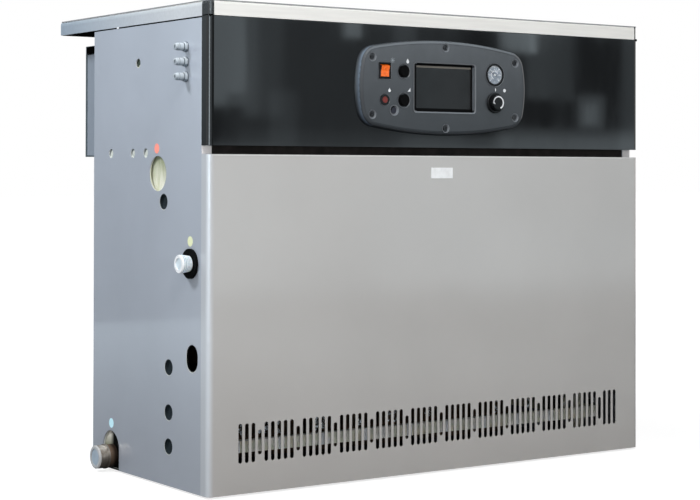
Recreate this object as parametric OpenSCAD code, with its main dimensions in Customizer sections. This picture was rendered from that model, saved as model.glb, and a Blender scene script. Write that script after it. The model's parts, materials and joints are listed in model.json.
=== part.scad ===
// Floor-standing gas boiler: a wide sheet-metal casing round a row of cast-iron
// sections, with a slotted front door, a black control fascia and a draught hood
// under the rear of its lid. Millimetres, +Z up, the front faces -Y.
// The origin is on the floor, under the centre of the casing.

/* [Casing] */
// Width of the casing
case_w = 1000; // [900:10:1200]
// Depth of the casing, from the door's face to the rear edge of the side panels
case_d = 435; // [420:5:520]
// Thickness of the sheet metal
sheet_t = 1.5; // [1:0.5:2.5]
// Thickness of the base pan, which holds the panels clear of the floor
pan_t = 4; // [3:0.5:6]
// Height of the door
door_h = 585; // [560:5:640]
// Height of the dark seam between door and fascia
seam_h = 15; // [8:1:25]
// Height of the control fascia
fascia_h = 222; // [210:2:260]
// Depth of the folded returns of door and fascia
return_d = 25; // [15:1:40]
// Outer radius of the vertical front corners
corner_r = 10; // [5:0.5:16]
// Width of the inward flanges of the side panels
flange_w = 20; // [12:1:26]
// Height of the front crossbar behind the seam
crossbar_h = 50; // [40:1:56]
// Depth of the front crossbar
crossbar_d = 28; // [15:1:40]

/* [Lid] */
// Thickness of the lid's edge
lid_h = 27; // [20:1:40]
// How far the lid reaches behind the casing, over the draught hood
lid_overhang = 153; // [148:1:180]
// How far each side of the lid is set in from the casing
lid_inset = 2; // [1:0.5:5]
// Radius of the lid's top edges
lid_r = 6; // [3:0.5:9]
// Gap between lid and fascia
lid_fascia_gap = 1; // [0.5:0.5:3]
// Gap between lid and side panels
lid_side_gap = 3; // [1.5:0.5:6]
// Width of a black end piece on the lid's front
lid_end_w = 8; // [6:0.5:20]
// Length of a black end piece along the lid's side
lid_end_d = 28; // [20:1:60]
// Width of the two rails that carry the lid
lid_rail_w = 10; // [6:1:10]

/* [Door grille] */
// Number of air slots in the door
slot_count = 67; // [31:2:69]
// Distance from slot to slot
slot_pitch = 13.2; // [10:0.1:13.5]
// Width of a slot
slot_w = 7.5; // [4:0.5:9]
// Length of a long slot
long_slot = 68; // [50:1:90]
// Length of a short slot
short_slot = 43; // [20:1:49]
// Slots from one short slot to the next
slot_group = 6; // [3:1:12]
// Height of the slots' centres above the floor
slot_z = 90.5; // [80:0.5:110]

/* [Door plate] */
// Width of the blank plate on the door
plate_w = 50; // [30:1:90]
// Height of the blank plate
plate_h = 20; // [12:1:40]
// Thickness of the blank plate
plate_t = 1.5; // [1:0.5:4]
// Distance from the door's top to the plate's top edge
plate_drop = 22; // [10:1:60]

/* [Control bezel] */
// Width of the bezel
bezel_w = 388; // [372:2:420]
// Height of the bezel at its middle
bezel_h = 175; // [172:1:190]
// How far the bezel stands out of the fascia
bezel_t = 12; // [9:0.5:18]
// Radius of the bowed top and bottom edges
bezel_bow_r = 900; // [850:50:1500]
// Radius of the bowed side edges
bezel_side_r = 210; // [190:10:400]
// Radius of the four corners
bezel_corner_r = 34; // [25:1:40]
// Width of the rounded rim
bezel_rim = 5; // [3:0.5:7]
// Height of the bezel's centre above the lower edge of the fascia
bezel_z = 111; // [106:1:114]
// Sideways distance from the middle to the outer bezel screws
screw_x = 167; // [160:1:168]
// Height from the centre to the outer bezel screws
screw_z = 52; // [48:1:53]
// Height from the centre to the two middle screws
screw_mid_z = 75; // [70:1:76]
// Radius of a screw head
screw_r = 3.8; // [2.5:0.1:4.2]
// Thickness of a screw head
screw_t = 2; // [1:0.1:2.6]
// Depth of a screw's recess
screw_sink = 3.5; // [2.5:0.1:5]
// Radius of a screw's recess
screw_recess_r = 7; // [4.8:0.1:7.4]
// Length of a screw's cross slot
screw_slot_l = 4.6; // [3:0.1:5]
// Width of a screw's cross slot
screw_slot_w = 1; // [0.6:0.1:1.4]
// Depth of a screw's cross slot
screw_slot_d = 0.8; // [0.4:0.1:0.9]
// Distance of the chassis inside the bezel's side edges
chassis_side = 19; // [16:1:24]
// Distance of the chassis inside the bezel's top and bottom edges
chassis_edge = 21.5; // [20:0.5:25]
// Depth of the chassis behind the fascia's face
chassis_d = 110; // [60:5:130]

/* [Controls] */
// Width of the display opening
display_w = 138; // [100:1:150]
// Height of the display opening
display_h = 90; // [60:1:100]
// Thickness of the display
display_t = 4; // [2:0.5:7]
// Radius of the display opening's corners
display_r = 5; // [2:0.5:9]
// Sideways place of the column with switch and lamp
left_x = -140; // [-146:1:-136]
// Sideways place of the column with the two round caps
cap_x = -97; // [-102:1:-92]
// Sideways place of the column with gauge and knob
right_x = 117; // [104:1:124]
// Height of the upper row above the bezel's centre
upper_z = 28; // [24:1:31]
// Depth of the lower row below the bezel's centre
lower_z = 25; // [22:1:30]
// Width of the switch frame
switch_w = 26; // [22:1:30]
// Height of the switch frame
switch_h = 29.5; // [27:0.5:33]
// Width of the switch frame's lip on the bezel
switch_lip = 1.2; // [0.8:0.1:1.5]
// Wall of the switch frame around the rocker
switch_wall = 2; // [1.5:0.1:2.2]
// How far frame, lamp ring and gauge ring stand out of the bezel
ring_t = 2; // [1:0.5:4]
// Half the height of the rocker's face
rocker_half_h = 9.8; // [8:0.1:10]
// Distance of the rocker's pivot behind the bezel's face
rocker_pivot = 4; // [3:0.5:5]
// How far the rocker's raised edge stands out of the bezel's face when level
rocker_proud = 3; // [2:0.5:4]
// Depth of the hollow in the rocker's face
rocker_dip = 1.6; // [0.8:0.1:2.4]
// Tilt of the rocker at rest
rocker_tilt = 10; // [6:1:12]
// Radius of a round cap
cap_r = 11; // [9.5:0.5:13]
// How far a round cap stands out of the bezel
cap_t = 5; // [3.5:0.5:9]
// Height and width of the step round a cap's face
cap_step = 1.5; // [0.5:0.5:3]
// Depth of the recess round a cap
cap_sink = 1.5; // [0.5:0.5:4]
// Space between a cap and the edge of its recess
cap_gap = 2; // [0.5:0.5:3]
// Radius of a cap's stem in the bezel
cap_stem_r = 8; // [5:0.5:9]
// Radius of the lamp ring
lamp_r = 10; // [7:0.5:14]
// Radius of the lamp lens
lamp_lens_r = 6; // [4:0.5:7]
// Wall of the lamp's body round the lens
lamp_wall = 1; // [0.5:0.5:2]
// Radius of the gauge ring
gauge_r = 21; // [15:0.5:23]
// Width of the gauge ring
gauge_ring_w = 3; // [2:0.5:5]
// How far the gauge ring reaches over the gauge's body
gauge_lip = 1.5; // [0.5:0.5:3]
// Depth of the gauge's cup
gauge_cup = 4.5; // [3:0.5:7]
// Thickness of the gauge dial
dial_t = 1.5; // [1:0.5:2.5]
// Radius of the knob's flange
knob_r = 19.5; // [15:0.5:24]
// Thickness of the knob's flange
knob_flange_t = 3; // [2:0.5:5]
// Radius of the knob's grip
grip_r = 15; // [10:0.5:15]
// Length of the knob's grip
grip_l = 8; // [5:0.5:15]
// Width of the bevels on the knob's edges
knob_bevel = 1; // [0.5:0.5:1.5]
// Length of the knob's shaft inside the chassis
shaft_l = 8; // [4:1:11]
// Radius of the knob's shaft
shaft_r = 3; // [2:0.5:4]
// Gap between knob and bezel
knob_gap = 1; // [0.5:0.5:3]
// Depth of the small button below the bezel's centre
button_z = 43.75; // [40:0.25:52]
// Radius of the recess of the small button beside the lamp
button_r = 8; // [5:0.5:8.5]
// Depth of that recess
button_sink = 3; // [1:0.5:4]
// Space between the small button and the edge of its recess
button_gap = 2; // [0.5:0.5:3]

/* [Side connections] */
// Distance of the flow port behind the door's face
flow_y = 181; // [175:1:190]
// Height of the flow port
flow_z = 555; // [548:1:560]
// Radius of the flow hole
flow_hole_r = 31.5; // [28:0.5:36]
// Distance of the return port in front of the casing's rear edge
return_back = 75; // [69:1:83]
// Height of the return port
return_z = 28; // [27:0.5:34]
// Half the width of the notch round the return pipe
notch_r = 32; // [28:1:36]
// Height of the notch's top
notch_top = 75; // [70:1:84]
// Outer radius of the water pipes
water_r = 21.2; // [16:0.2:21.2]
// Wall of the water pipes
water_wall = 3.2; // [2:0.2:5]
// How far the water pipes stand out of the casing
water_out = 30; // [24:1:60]
// Distance of the gas pipe behind the door's face
gas_y = 60.5; // [56:0.5:66]
// Height of the gas pipe
gas_z = 399.5; // [380:0.5:420]
// Outer radius of the gas pipe
gas_r = 13.4; // [10:0.2:16]
// How far the gas pipe stands out of the casing
gas_out = 1.5; // [0.5:0.5:2]
// Wall of the gas pipe round its blind bore
gas_wall = 2.5; // [2:0.1:4]
// Depth of the blind bore in the gas pipe's end
gas_bore = 20; // [16:1:40]
// Radius of the gas hole
gas_hole_r = 25; // [22:0.5:28]
// How far the grommet stands out of the casing
grommet_t = 4.5; // [3:0.5:8]
// How far the grommet reaches over the gas hole's edge
grommet_lip = 1; // [0.5:0.5:3]
// How far the plug in the gas pipe stands out of the casing
plug_out = 24.5; // [18:0.5:40]
// Radius of the plug's outer end
plug_r = 16; // [13:0.5:18]
// Length of the plug inside the gas pipe
plug_insert = 8; // [4:1:14]
// Length of the plug's outer flange
plug_flange_l = 3; // [2:0.5:5]
// Number of rings round the plug's taper
plug_rings = 4; // [2:1:5]
// Height and width of a ring
plug_ring_t = 0.8; // [0.4:0.1:1.2]
// Radius of the recess in the plug's end
plug_dish_r = 10.5; // [6:0.5:11]
// Depth of the recesses in the ends of plug and cap
dish_d = 1.5; // [0.5:0.5:2]
// Thickness of the return pipe's end cap
pipe_cap_t = 3.5; // [3:0.5:8]
// How far the end cap reaches into the return pipe
pipe_cap_l = 10; // [4:1:20]
// Width of the end cap's rounded rim
pipe_cap_rim = 1.5; // [0.5:0.5:2.5]
// Radius of the recess in the cap's end
pipe_dish_r = 15.5; // [10:0.5:16]
// Distance of the collar from the return pipe's end
collar_back = 14.5; // [8:0.5:20]
// Length of the collar
collar_l = 4; // [2:1:8]
// How far the collar stands out of the return pipe
collar_t = 1.5; // [0.5:0.5:4]
// Depth of the blind bore in a water pipe's end
water_bore = 73; // [40:1:75]
// Distance of the cable glands behind the door's face
gland_y = 79; // [70:1:92]
// Distance of the middle cable gland below the lid
gland_drop = 77; // [60:1:100]
// Distance from gland to gland
gland_pitch = 26; // [24:1:34]
// Radius of a gland's body
gland_r = 6.8; // [5:0.1:8]
// How far a gland stands out of the casing
gland_out = 23; // [20:1:34]
// Thickness of a gland's hexagonal base nut
gland_nut_t = 6; // [4:0.5:8]
// How far the base nut's corners stand out of the gland's body
gland_nut_over = 1.8; // [1:0.1:3]
// Length of a gland's narrow tip
gland_tip_l = 4; // [2:0.5:6]
// Step from a gland's body to its tip
gland_tip_step = 1.2; // [0.5:0.1:2]
// Radius of a gland's mouth
gland_mouth_r = 3.2; // [2:0.1:3.6]
// Depth of a gland's mouth
gland_mouth_d = 7; // [4:0.5:10]

/* [Spare holes of the side panels] */
// Radius of the small holes
small_hole_r = 8.5; // [5:0.5:10]
// Height of the row of small holes
small_row_z = 592; // [575:1:610]
// Distances of the small holes behind the door's face
small_row_y = [227, 277, 364];
// Distance of the upper small hole behind the door's face
upper_hole_y = 257; // [240:1:300]
// Distance of the upper small hole below the lid
upper_hole_drop = 71; // [50:1:80]
// Radius of the service holes
service_hole_r = 12.7; // [8:0.1:15]
// Distance of the lower service holes behind the door's face
service_y = 138; // [120:1:150]
// Heights of the lower service holes
service_z = [74, 134, 213.5];
// Distance of the upper service hole behind the door's face
upper_service_y = 158.5; // [150:0.5:170]
// Height of the upper service hole
upper_service_z = 505.5; // [490:0.5:508]
// Distance of the oblong hole behind the door's face
oblong_y = 54.5; // [50:0.5:62]
// Height of the oblong hole
oblong_z = 236; // [225:1:250]
// Width of the oblong hole
oblong_w = 36; // [24:1:40]
// Height of the oblong hole's opening
oblong_h = 45; // [42:1:60]

/* [Draught hood] */
// How far each end of the hood is set in from the casing's side
hood_inset = 50; // [40:5:120]
// How far the hood reaches behind the casing
hood_d = 139; // [100:1:145]
// Gap between hood and lid
hood_gap = 21; // [10:1:40]
// Height of the hood
hood_h = 219; // [205:1:228]
// Height of the relief groove along the top of each side
relief_h = 17; // [10:1:30]
// Depth of the relief groove
relief_d = 30; // [15:1:60]
// Thickness of the hood's top plate and rear plate at the groove
hood_plate_t = 3; // [2:0.5:6]
// Outer radius of the flue spigot
flue_r = 90; // [60:1:98]
// Length of the flue spigot
flue_l = 60; // [30:1:90]
// Depth of the flue outlet inside the hood
flue_depth = 60; // [30:1:100]

/* [Boiler block] */
// Number of cast-iron sections
section_count = 10; // [6:1:12]
// Space between each end of the block and the casing's side
block_side = 60; // [50:5:90]
// Gap between sections
section_gap = 6; // [3:1:10]
// Distance of the block's front behind the door's face
block_y = 150; // [140:1:158]
// Distance of the block's rear in front of the casing's rear edge
block_back = 30; // [20:1:40]
// Radius of a section's corners
section_r = 12; // [6:1:20]
// Height of the underside over the burners
block_z = 215; // [190:5:240]
// Height of the block's top
block_top = 600; // [590:5:620]
// Depth of the rear water leg
leg_d = 75; // [65:1:90]
// Gap between flue collector and lid
collector_gap = 77; // [40:1:110]
// Distance of the flue collector behind the block's front
collector_y = 20; // [5:1:60]
// Height of the lower nipples above the block's underside
nipple_z = 45; // [30:1:80]
// Radius of the nipples that join the sections
nipple_r = 22.5; // [21.5:0.5:23]
// Space between the insulation of the block's ends and the casing's side
wool_gap = 5; // [3:1:30]
// Gap between the insulation's top and the lid
wool_top_gap = 71; // [60:1:110]
// Distance of the insulation's lower part behind the block's front
wool_y = 65; // [30:1:90]
// How far the insulation reaches past the block's rear
wool_over = 15; // [0:1:18]
// How far the insulation's upper part reaches below the flow port
wool_drop = 40; // [34:1:60]
// Clearance of the insulation round the water pipes
wool_clear = 9; // [4:1:12]
// Depth of the posts that carry the block's front
stand_d = 30; // [15:1:40]
// Distance of these posts behind the block's front
stand_y = 15; // [10:1:40]

/* [Burners] */
// Number of burner tubes
burner_count = 10; // [6:1:12]
// Radius of a burner tube
burner_r = 20; // [14:1:28]
// Height of the burner tubes
burner_z = 150; // [146:1:160]
// Gap between the outer burner tubes and the posts at the ends
burner_clear = 4; // [2:1:8]
// Radius of the gas manifold
manifold_r = 12; // [8:1:14]
// Distance of the gas pipe's drop to the manifold from the casing's side
drop_in = 45; // [30:1:60]
// Gap between manifold and burner tubes, bridged by the injectors
injector_l = 6; // [3:1:12]
// Radius of an injector
injector_r = 4; // [2:0.5:6]
// Height of the bar under the burner tubes
burner_bar_h = 6; // [3:0.5:12]
// Distance of the front rail behind the door's face
rail_y = 56; // [50:1:80]
// Height of the front rail's lower edge
rail_z = 64.5; // [50:0.5:70]
// Height of the front rail
rail_h = 21.5; // [15:0.5:30]
// Thickness of the front rail
rail_t = 12; // [6:1:20]
// Distance of the burner posts behind the door's face
post_y = 95; // [85:1:110]
// Height of the base rails
base_rail_h = 40; // [25:1:50]
// Width of the base rails
base_rail_w = 26; // [15:1:28]
// How far the base pan is set in from the casing's sides
base_inset = 12; // [2:1:16]

/* [Hidden] */
$fn = 64;
eps = 0.01;
fit = 0.3;            // clearance between pieces that seat in each other
run_fit = 0.05;       // radial clearance of a turning shaft
rocker_gap = 0.5;     // clearance round the rocker in its frame
front_y = -case_d / 2;
back_y = case_d / 2;
side_x = case_w / 2;
inner_x = side_x - sheet_t;
seam_z = pan_t + door_h;
fascia_z = seam_z + seam_h;
fascia_top = fascia_z + fascia_h;
lid_z = fascia_top + lid_fascia_gap;
lid_top = lid_z + lid_h;
hood_z = lid_z - hood_gap - hood_h;
gland_z = lid_z - gland_drop;
upper_hole_z = lid_z - upper_hole_drop;
collector_top = lid_z - collector_gap;
wool_top = lid_z - wool_top_gap;
chassis_w = bezel_w - 2 * chassis_side;
chassis_h = bezel_h - 2 * chassis_edge;
lid_w = case_w - 2 * lid_inset;
lid_d = case_d + lid_overhang;
panel_top = lid_z - lid_side_gap;
flange_y = front_y + return_d;
bezel_cz = fascia_z + bezel_z;
bezel_y = front_y - bezel_t;
block_w = case_w - 2 * block_side;
block_d = case_d - block_y - block_back;
section_w = (block_w - (section_count - 1) * section_gap) / section_count;
nipple_x = [1 - block_w / 2, block_w / 2 - 1];
burner_pitch = block_w / burner_count;
stand_w = burner_pitch / 2 - burner_r - burner_clear;
rear_face = back_y - sheet_t;
leg_front = front_y + block_y + block_d - leg_d;
return_y = case_d - return_back;
hood_half_w = side_x - hood_inset;
wool_t = block_side - wool_gap;
button_x = (left_x + cap_x) / 2;
rocker_reach = norm([rocker_pivot + rocker_proud, rocker_half_h]);
switch_hole_w = switch_w - 2 * switch_lip;
switch_hole_h = switch_h - 2 * switch_lip;
gauge_body_r = gauge_r - gauge_lip;
gas_bore_r = gas_r - gas_wall;
water_bore_r = water_r - water_wall;
drop_x = side_x - drop_in;
tee_x = 1.5 * gas_r - drop_x;
manifold_y = front_y + gas_y;
gland_foot_r = gland_r - 1;   // threaded foot that passes through the panel

// Span of a given half-width about a centre
function about(c, half) = [c - half, c + half];

// Straight-sided block between two corners
module block(x, y, z) {
    translate([x[0], y[0], z[0]]) cube([x[1] - x[0], y[1] - y[0], z[1] - z[0]]);
}

// Cylinder along X from x[0] to x[1]
module rod_x(x, y, z, r) {
    translate([x[0], y, z]) rotate([0, 90, 0]) cylinder(r = r, h = x[1] - x[0]);
}

// Cylinder along Y from y[0] to y[1]
module rod_y(x, y, z, r) {
    translate([x, y[0], z]) rotate([-90, 0, 0]) cylinder(r = r, h = y[1] - y[0]);
}

// Plan of a tray: front corners rounded, open towards +Y
module tray_plan(w, d, r) {
    translate([-w / 2, r]) square([w, d - r]);
    translate([r - w / 2, 0]) square([w - 2 * r, d]);
    for (s = [-1, 1]) translate([s * (w / 2 - r), r]) circle(r);
}

// Folded front tray with all four returns, its face at front_y
module front_tray(w, h, d, r, t) {
    translate([0, front_y, 0]) difference() {
        linear_extrude(h) tray_plan(w, d, r);
        translate([0, t, t]) linear_extrude(h - 2 * t) tray_plan(w - 2 * t, d, r - t);
    }
}

// Upright section with rounded top corners
module arched(w, h, r) {
    translate([-w / 2, 0]) square([w, h - r]);
    translate([r - w / 2, 0]) square([w - 2 * r, h]);
    for (s = [-1, 1]) translate([s * (w / 2 - r), h - r]) circle(r);
}

// One upright slot with round ends, cut along Y
module upright_slot(x, z, w, l, y) {
    block([x - w / 2, x + w / 2], y, [z - l / 2 + w / 2, z + l / 2 - w / 2]);
    for (s = [-1, 1]) rod_y(x, y, z + s * (l / 2 - w / 2), w / 2, $fn = 24);
}

module base_frame() {
    color("dimgray") {
        block(about(0, side_x - base_inset), [flange_y + sheet_t, rear_face - sheet_t], [0, pan_t]);
        for (y = [flange_y + sheet_t, rear_face - sheet_t - base_rail_w])
            block(about(0, side_x - flange_w), [y, y + base_rail_w], [pan_t - eps, base_rail_h]);
    }
}

// Tray-shaped side panel on the left, with the holes of both hands
module side_sheet() {
    through = [-side_x - 1, -inner_x + 1];
    inward = [-inner_x, flange_w + 1 - side_x];
    difference() {
        block([-side_x, flange_w - side_x], [flange_y, back_y], [pan_t, panel_top]);
        block(inward, [flange_y + sheet_t, rear_face], [pan_t + sheet_t, panel_top - sheet_t]);
        rod_x(through, front_y + flow_y, flow_z, flow_hole_r);
        rod_x(through, front_y + gas_y, gas_z, gas_hole_r);
        rod_x(through, front_y + upper_hole_y, upper_hole_z, small_hole_r);
        rod_x(through, front_y + upper_service_y, upper_service_z, service_hole_r);
        for (y = small_row_y) rod_x(through, front_y + y, small_row_z, small_hole_r);
        for (z = service_z) rod_x(through, front_y + service_y, z, service_hole_r);
        rod_x(through, front_y + return_y, notch_top - notch_r, notch_r);
        block([through[0], flange_w + 1 - side_x], about(front_y + return_y, notch_r),
            [0, notch_top - notch_r]);
        oblong_end = (oblong_h - oblong_w) / 2;
        for (s = [-1, 1]) rod_x(through, front_y + oblong_y, oblong_z + s * oblong_end, oblong_w / 2);
        block(through, about(front_y + oblong_y, oblong_w / 2), about(oblong_z, oblong_end));
    }
}

module left_side_panel() {
    color("lightslategray") difference() {
        side_sheet();
        for (i = [-1, 0, 1]) rod_x([-side_x - 1, -inner_x + 1], front_y + gland_y,
            gland_z + i * gland_pitch, gland_foot_r);
    }
}

module right_side_panel() {
    color("lightslategray") mirror([1, 0, 0]) side_sheet();
}

module rear_panel() {
    color("silver") block([-inner_x, inner_x], [rear_face - sheet_t, rear_face],
        [pan_t + sheet_t, panel_top - sheet_t]);
}

module front_crossbar() {
    y = flange_y + sheet_t;
    color("black") difference() {
        block([-inner_x, inner_x], [y, y + crossbar_d], about(seam_z + seam_h / 2, crossbar_h / 2));
        block([-inner_x - 1, inner_x + 1], [y + sheet_t, y + crossbar_d + 1],
            about(seam_z + seam_h / 2, crossbar_h / 2 - sheet_t));
    }
}

module lid_rails() {
    color("black") for (s = [-1, 1])
        block(about(s * (side_x - flange_w + lid_rail_w / 2), lid_rail_w / 2),
            [flange_y + sheet_t, rear_face], [panel_top, lid_top - sheet_t]);
}

// Form of the lid with its end pieces, drawn inward by t
module lid_form(t) {
    w = lid_w - 2 * t;
    d = lid_d - 2 * t;
    base = lid_z - (t > 0 ? 1 : 0);
    h = lid_top - t - base;
    intersection() {
        translate([0, front_y + lid_d - t, base]) rotate([90, 0, 0]) linear_extrude(d)
            arched(w, h, lid_r - t);
        translate([-w / 2, front_y + lid_d / 2, base]) rotate([90, 0, 90]) linear_extrude(w)
            arched(d, h, lid_r - t);
        translate([0, front_y + t, base]) linear_extrude(h)
            tray_plan(w, d, corner_r - lid_inset - t);
    }
}

// Corner of the lid that an end piece fills, on side s
module lid_corner_space(s) {
    x = lid_w / 2 - lid_end_w;
    block(s > 0 ? [x, side_x] : [-side_x, -x], [front_y - 1, front_y + lid_end_d],
        [lid_z - 1, lid_top + 1]);
}

module lid() {
    color("lightgray") difference() {
        lid_form(0);
        lid_form(sheet_t);
        for (s = [-1, 1]) lid_corner_space(s);
    }
}

module lid_end(s) {
    color("black") intersection() {
        lid_form(0);
        lid_corner_space(s);
    }
}

module lid_end_left() { lid_end(-1); }

module lid_end_right() { lid_end(1); }

module control_fascia() {
    color("black") difference() {
        translate([0, 0, fascia_z]) front_tray(case_w, fascia_h, return_d, corner_r, sheet_t);
        block([-chassis_w / 2 - fit, chassis_w / 2 + fit], [front_y - 1, front_y + sheet_t + 1],
            about(bezel_cz, chassis_h / 2 + fit));
    }
}

module control_chassis() {
    color("dimgray") difference() {
        block(about(0, chassis_w / 2), [front_y, front_y + chassis_d], about(bezel_cz, chassis_h / 2));
        rod_y(right_x, [front_y - 1, front_y + bezel_t], bezel_cz - lower_z, shaft_r + run_fit);
        switch_space(0);
    }
}

// Bowed outline of the bezel, drawn inward by inset
module bezel_outline(inset) {
    offset(r = bezel_corner_r - inset, $fn = 96) offset(delta = -bezel_corner_r) intersection() {
        square([bezel_w, bezel_h], center = true);
        intersection_for(s = [-1, 1]) intersection() {
            translate([0, s * (bezel_h / 2 - bezel_bow_r)]) circle(bezel_bow_r, $fn = 360);
            translate([s * (bezel_w / 2 - bezel_side_r), 0]) circle(bezel_side_r, $fn = 120);
        }
    }
}

module bezel_slice(inset, t) {
    rotate([90, 0, 0]) linear_extrude(t) bezel_outline(inset);
}

// Room for the moving rocker behind the switch frame
module switch_space(gap) {
    block(about(left_x, switch_hole_w / 2 + gap), [bezel_y - 1, bezel_y + rocker_pivot + rocker_reach + 1],
        about(bezel_cz + upper_z, switch_hole_h / 2 + gap));
}

module control_bezel() {
    through = [bezel_y - 1, front_y + 1];
    color([0.35, 0.36, 0.38]) difference() {
        translate([0, front_y, bezel_cz]) {
            bezel_slice(0, bezel_t - bezel_rim);
            hull() {
                bezel_slice(0, bezel_t - bezel_rim);
                bezel_slice(bezel_rim * 0.3, bezel_t - bezel_rim * 0.3);
                bezel_slice(bezel_rim, bezel_t);
            }
        }
        window_cut(display_w, display_h, display_r, through);
        switch_space(fit);
        for (z = [bezel_cz + upper_z, bezel_cz - lower_z]) {
            rod_y(cap_x, through, z, cap_stem_r + fit);
            rod_y(cap_x, [bezel_y - 1, bezel_y + cap_sink], z, cap_r + cap_gap);
        }
        rod_y(left_x, through, bezel_cz - lower_z, lamp_lens_r + lamp_wall + fit);
        rod_y(right_x, through, bezel_cz + upper_z, gauge_body_r + fit);
        rod_y(right_x, through, bezel_cz - lower_z, shaft_r + run_fit);
        rod_y(button_x, [bezel_y - 1, bezel_y + button_sink], bezel_cz - button_z,
            button_r);
        screw_places() rod_y(0, [bezel_y - 1, bezel_y + screw_sink], 0, screw_recess_r);
    }
}

// Window with rounded corners, cut along Y about the bezel's centre
module window_cut(w, h, r, y) {
    block(about(0, w / 2), y, about(bezel_cz, h / 2 - r));
    block(about(0, w / 2 - r), y, about(bezel_cz, h / 2));
    for (sx = [-1, 1], sz = [-1, 1]) rod_y(sx * (w / 2 - r), y, bezel_cz + sz * (h / 2 - r), r);
}

module screw_places() {
    for (s = [-1, 1]) {
        for (sx = [-1, 1]) translate([sx * screw_x, 0, bezel_cz + s * screw_z]) children();
        translate([0, 0, bezel_cz + s * screw_mid_z]) children();
    }
}

module bezel_screws() {
    y = bezel_y + screw_sink;
    color("gray") screw_places() difference() {
        rod_y(0, [y - screw_t, y], 0, screw_r);
        for (a = [0, 90]) rotate([0, a, 0])
            block(about(0, screw_slot_l / 2), [y - screw_t - 1, y - screw_t + screw_slot_d],
                about(0, screw_slot_w / 2));
    }
}

module display_window() {
    color([0.1, 0.1, 0.12]) window_cut(display_w - 2 * fit, display_h - 2 * fit,
        display_r - fit, [front_y - display_t, front_y]);
}

module switch_frame() {
    x = left_x;
    z = bezel_cz + upper_z;
    color("black") difference() {
        union() {
            block(about(x, switch_w / 2), [bezel_y - ring_t, bezel_y], about(z, switch_h / 2));
            block(about(x, switch_hole_w / 2), [bezel_y - eps, front_y], about(z, switch_hole_h / 2));
        }
        block(about(x, switch_w / 2 - switch_wall), [bezel_y - ring_t - 1, front_y + 1],
            about(z, rocker_reach + rocker_gap));
    }
}

module switch_rocker() {
    half_w = switch_w / 2 - switch_wall - rocker_gap;
    edge = rocker_pivot + rocker_proud;
    color("orangered") translate([left_x, bezel_y + rocker_pivot, bezel_cz + upper_z])
        rotate([rocker_tilt, 0, 0]) intersection() {
            rod_x([-half_w, half_w], 0, 0, rocker_reach);
            translate([-half_w, 0, 0]) rotate([90, 0, 90]) linear_extrude(2 * half_w)
                polygon([[rocker_pivot, -rocker_reach], [-edge, -rocker_half_h],
                    [-edge + rocker_dip, 0], [-edge, rocker_half_h], [rocker_pivot, rocker_reach]]);
        }
}

module limit_cap(z) {
    color("black") {
        rod_y(cap_x, [bezel_y - cap_t + cap_step, bezel_y + cap_sink], z, cap_r);
        rod_y(cap_x, [bezel_y - cap_t, bezel_y], z, cap_r - cap_step);
        rod_y(cap_x, [bezel_y - eps, front_y], z, cap_stem_r);
    }
}

module limit_cap_upper() { limit_cap(bezel_cz + upper_z); }

module limit_cap_lower() { limit_cap(bezel_cz - lower_z); }

module lamp_ring() {
    z = bezel_cz - lower_z;
    color("black") difference() {
        union() {
            rod_y(left_x, [bezel_y - ring_t, bezel_y], z, lamp_r);
            rod_y(left_x, [bezel_y - eps, front_y], z, lamp_lens_r + lamp_wall);
        }
        rod_y(left_x, [bezel_y - ring_t - 1, bezel_y], z, lamp_lens_r);
    }
}

module lamp_lens() {
    color("red") rod_y(left_x, [bezel_y - ring_t, bezel_y], bezel_cz - lower_z, lamp_lens_r - fit);
}

module reset_button() {
    y = bezel_y + button_sink;
    color("dimgray") rod_y(button_x, [y - button_sink / 2, y], bezel_cz - button_z,
        button_r - button_gap);
}

module gauge_ring() {
    z = bezel_cz + upper_z;
    color("black") difference() {
        union() {
            rod_y(right_x, [bezel_y - ring_t, bezel_y], z, gauge_r);
            rod_y(right_x, [bezel_y - eps, front_y], z, gauge_body_r);
        }
        rod_y(right_x, [bezel_y - ring_t - 1, bezel_y - ring_t + gauge_cup], z, gauge_r - gauge_ring_w);
    }
}

module gauge_dial() {
    y = bezel_y - ring_t + gauge_cup;
    color("lightgray") rod_y(right_x, [y - dial_t, y], bezel_cz + upper_z, gauge_r - gauge_ring_w - fit);
}

module temperature_knob() {
    back = bezel_y - knob_gap;
    color("black") translate([right_x, back, bezel_cz - lower_z]) rotate([90, 0, 0]) {
        rotate_extrude() {
            top = knob_flange_t + grip_l;
            polygon([[0, 0], [knob_r, 0], [knob_r, knob_flange_t - knob_bevel],
                [knob_r - knob_bevel, knob_flange_t], [grip_r, knob_flange_t],
                [grip_r - knob_bevel, top - knob_bevel], [grip_r - 2 * knob_bevel, top], [0, top]]);
        }
        translate([0, 0, -knob_gap - bezel_t - shaft_l])
            cylinder(r = shaft_r, h = knob_gap + bezel_t + shaft_l + knob_bevel);
    }
}

module front_door() {
    color([0.72, 0.7, 0.69]) difference() {
        translate([0, 0, pan_t]) front_tray(case_w, door_h, return_d, corner_r, sheet_t);
        for (i = [0 : slot_count - 1])
            upright_slot((i - (slot_count - 1) / 2) * slot_pitch, slot_z, slot_w,
                i % slot_group == floor(slot_group / 2) ? short_slot : long_slot,
                [front_y - 1, front_y + sheet_t + 1]);
    }
}

module door_plate() {
    top = seam_z - plate_drop;
    color("white") block(about(0, plate_w / 2), [front_y - plate_t, front_y], [top - plate_h, top]);
}

// Side outline of one section's body over the burners
module section_outline() {
    translate([block_y + section_r, block_z]) square([block_d - 2 * section_r, block_top - block_z]);
    translate([block_y, block_z + section_r]) square([block_d, block_top - block_z - 2 * section_r]);
    for (y = [block_y + section_r, block_y + block_d - section_r],
        z = [block_z + section_r, block_top - section_r]) translate([y, z]) circle(section_r);
}

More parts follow.
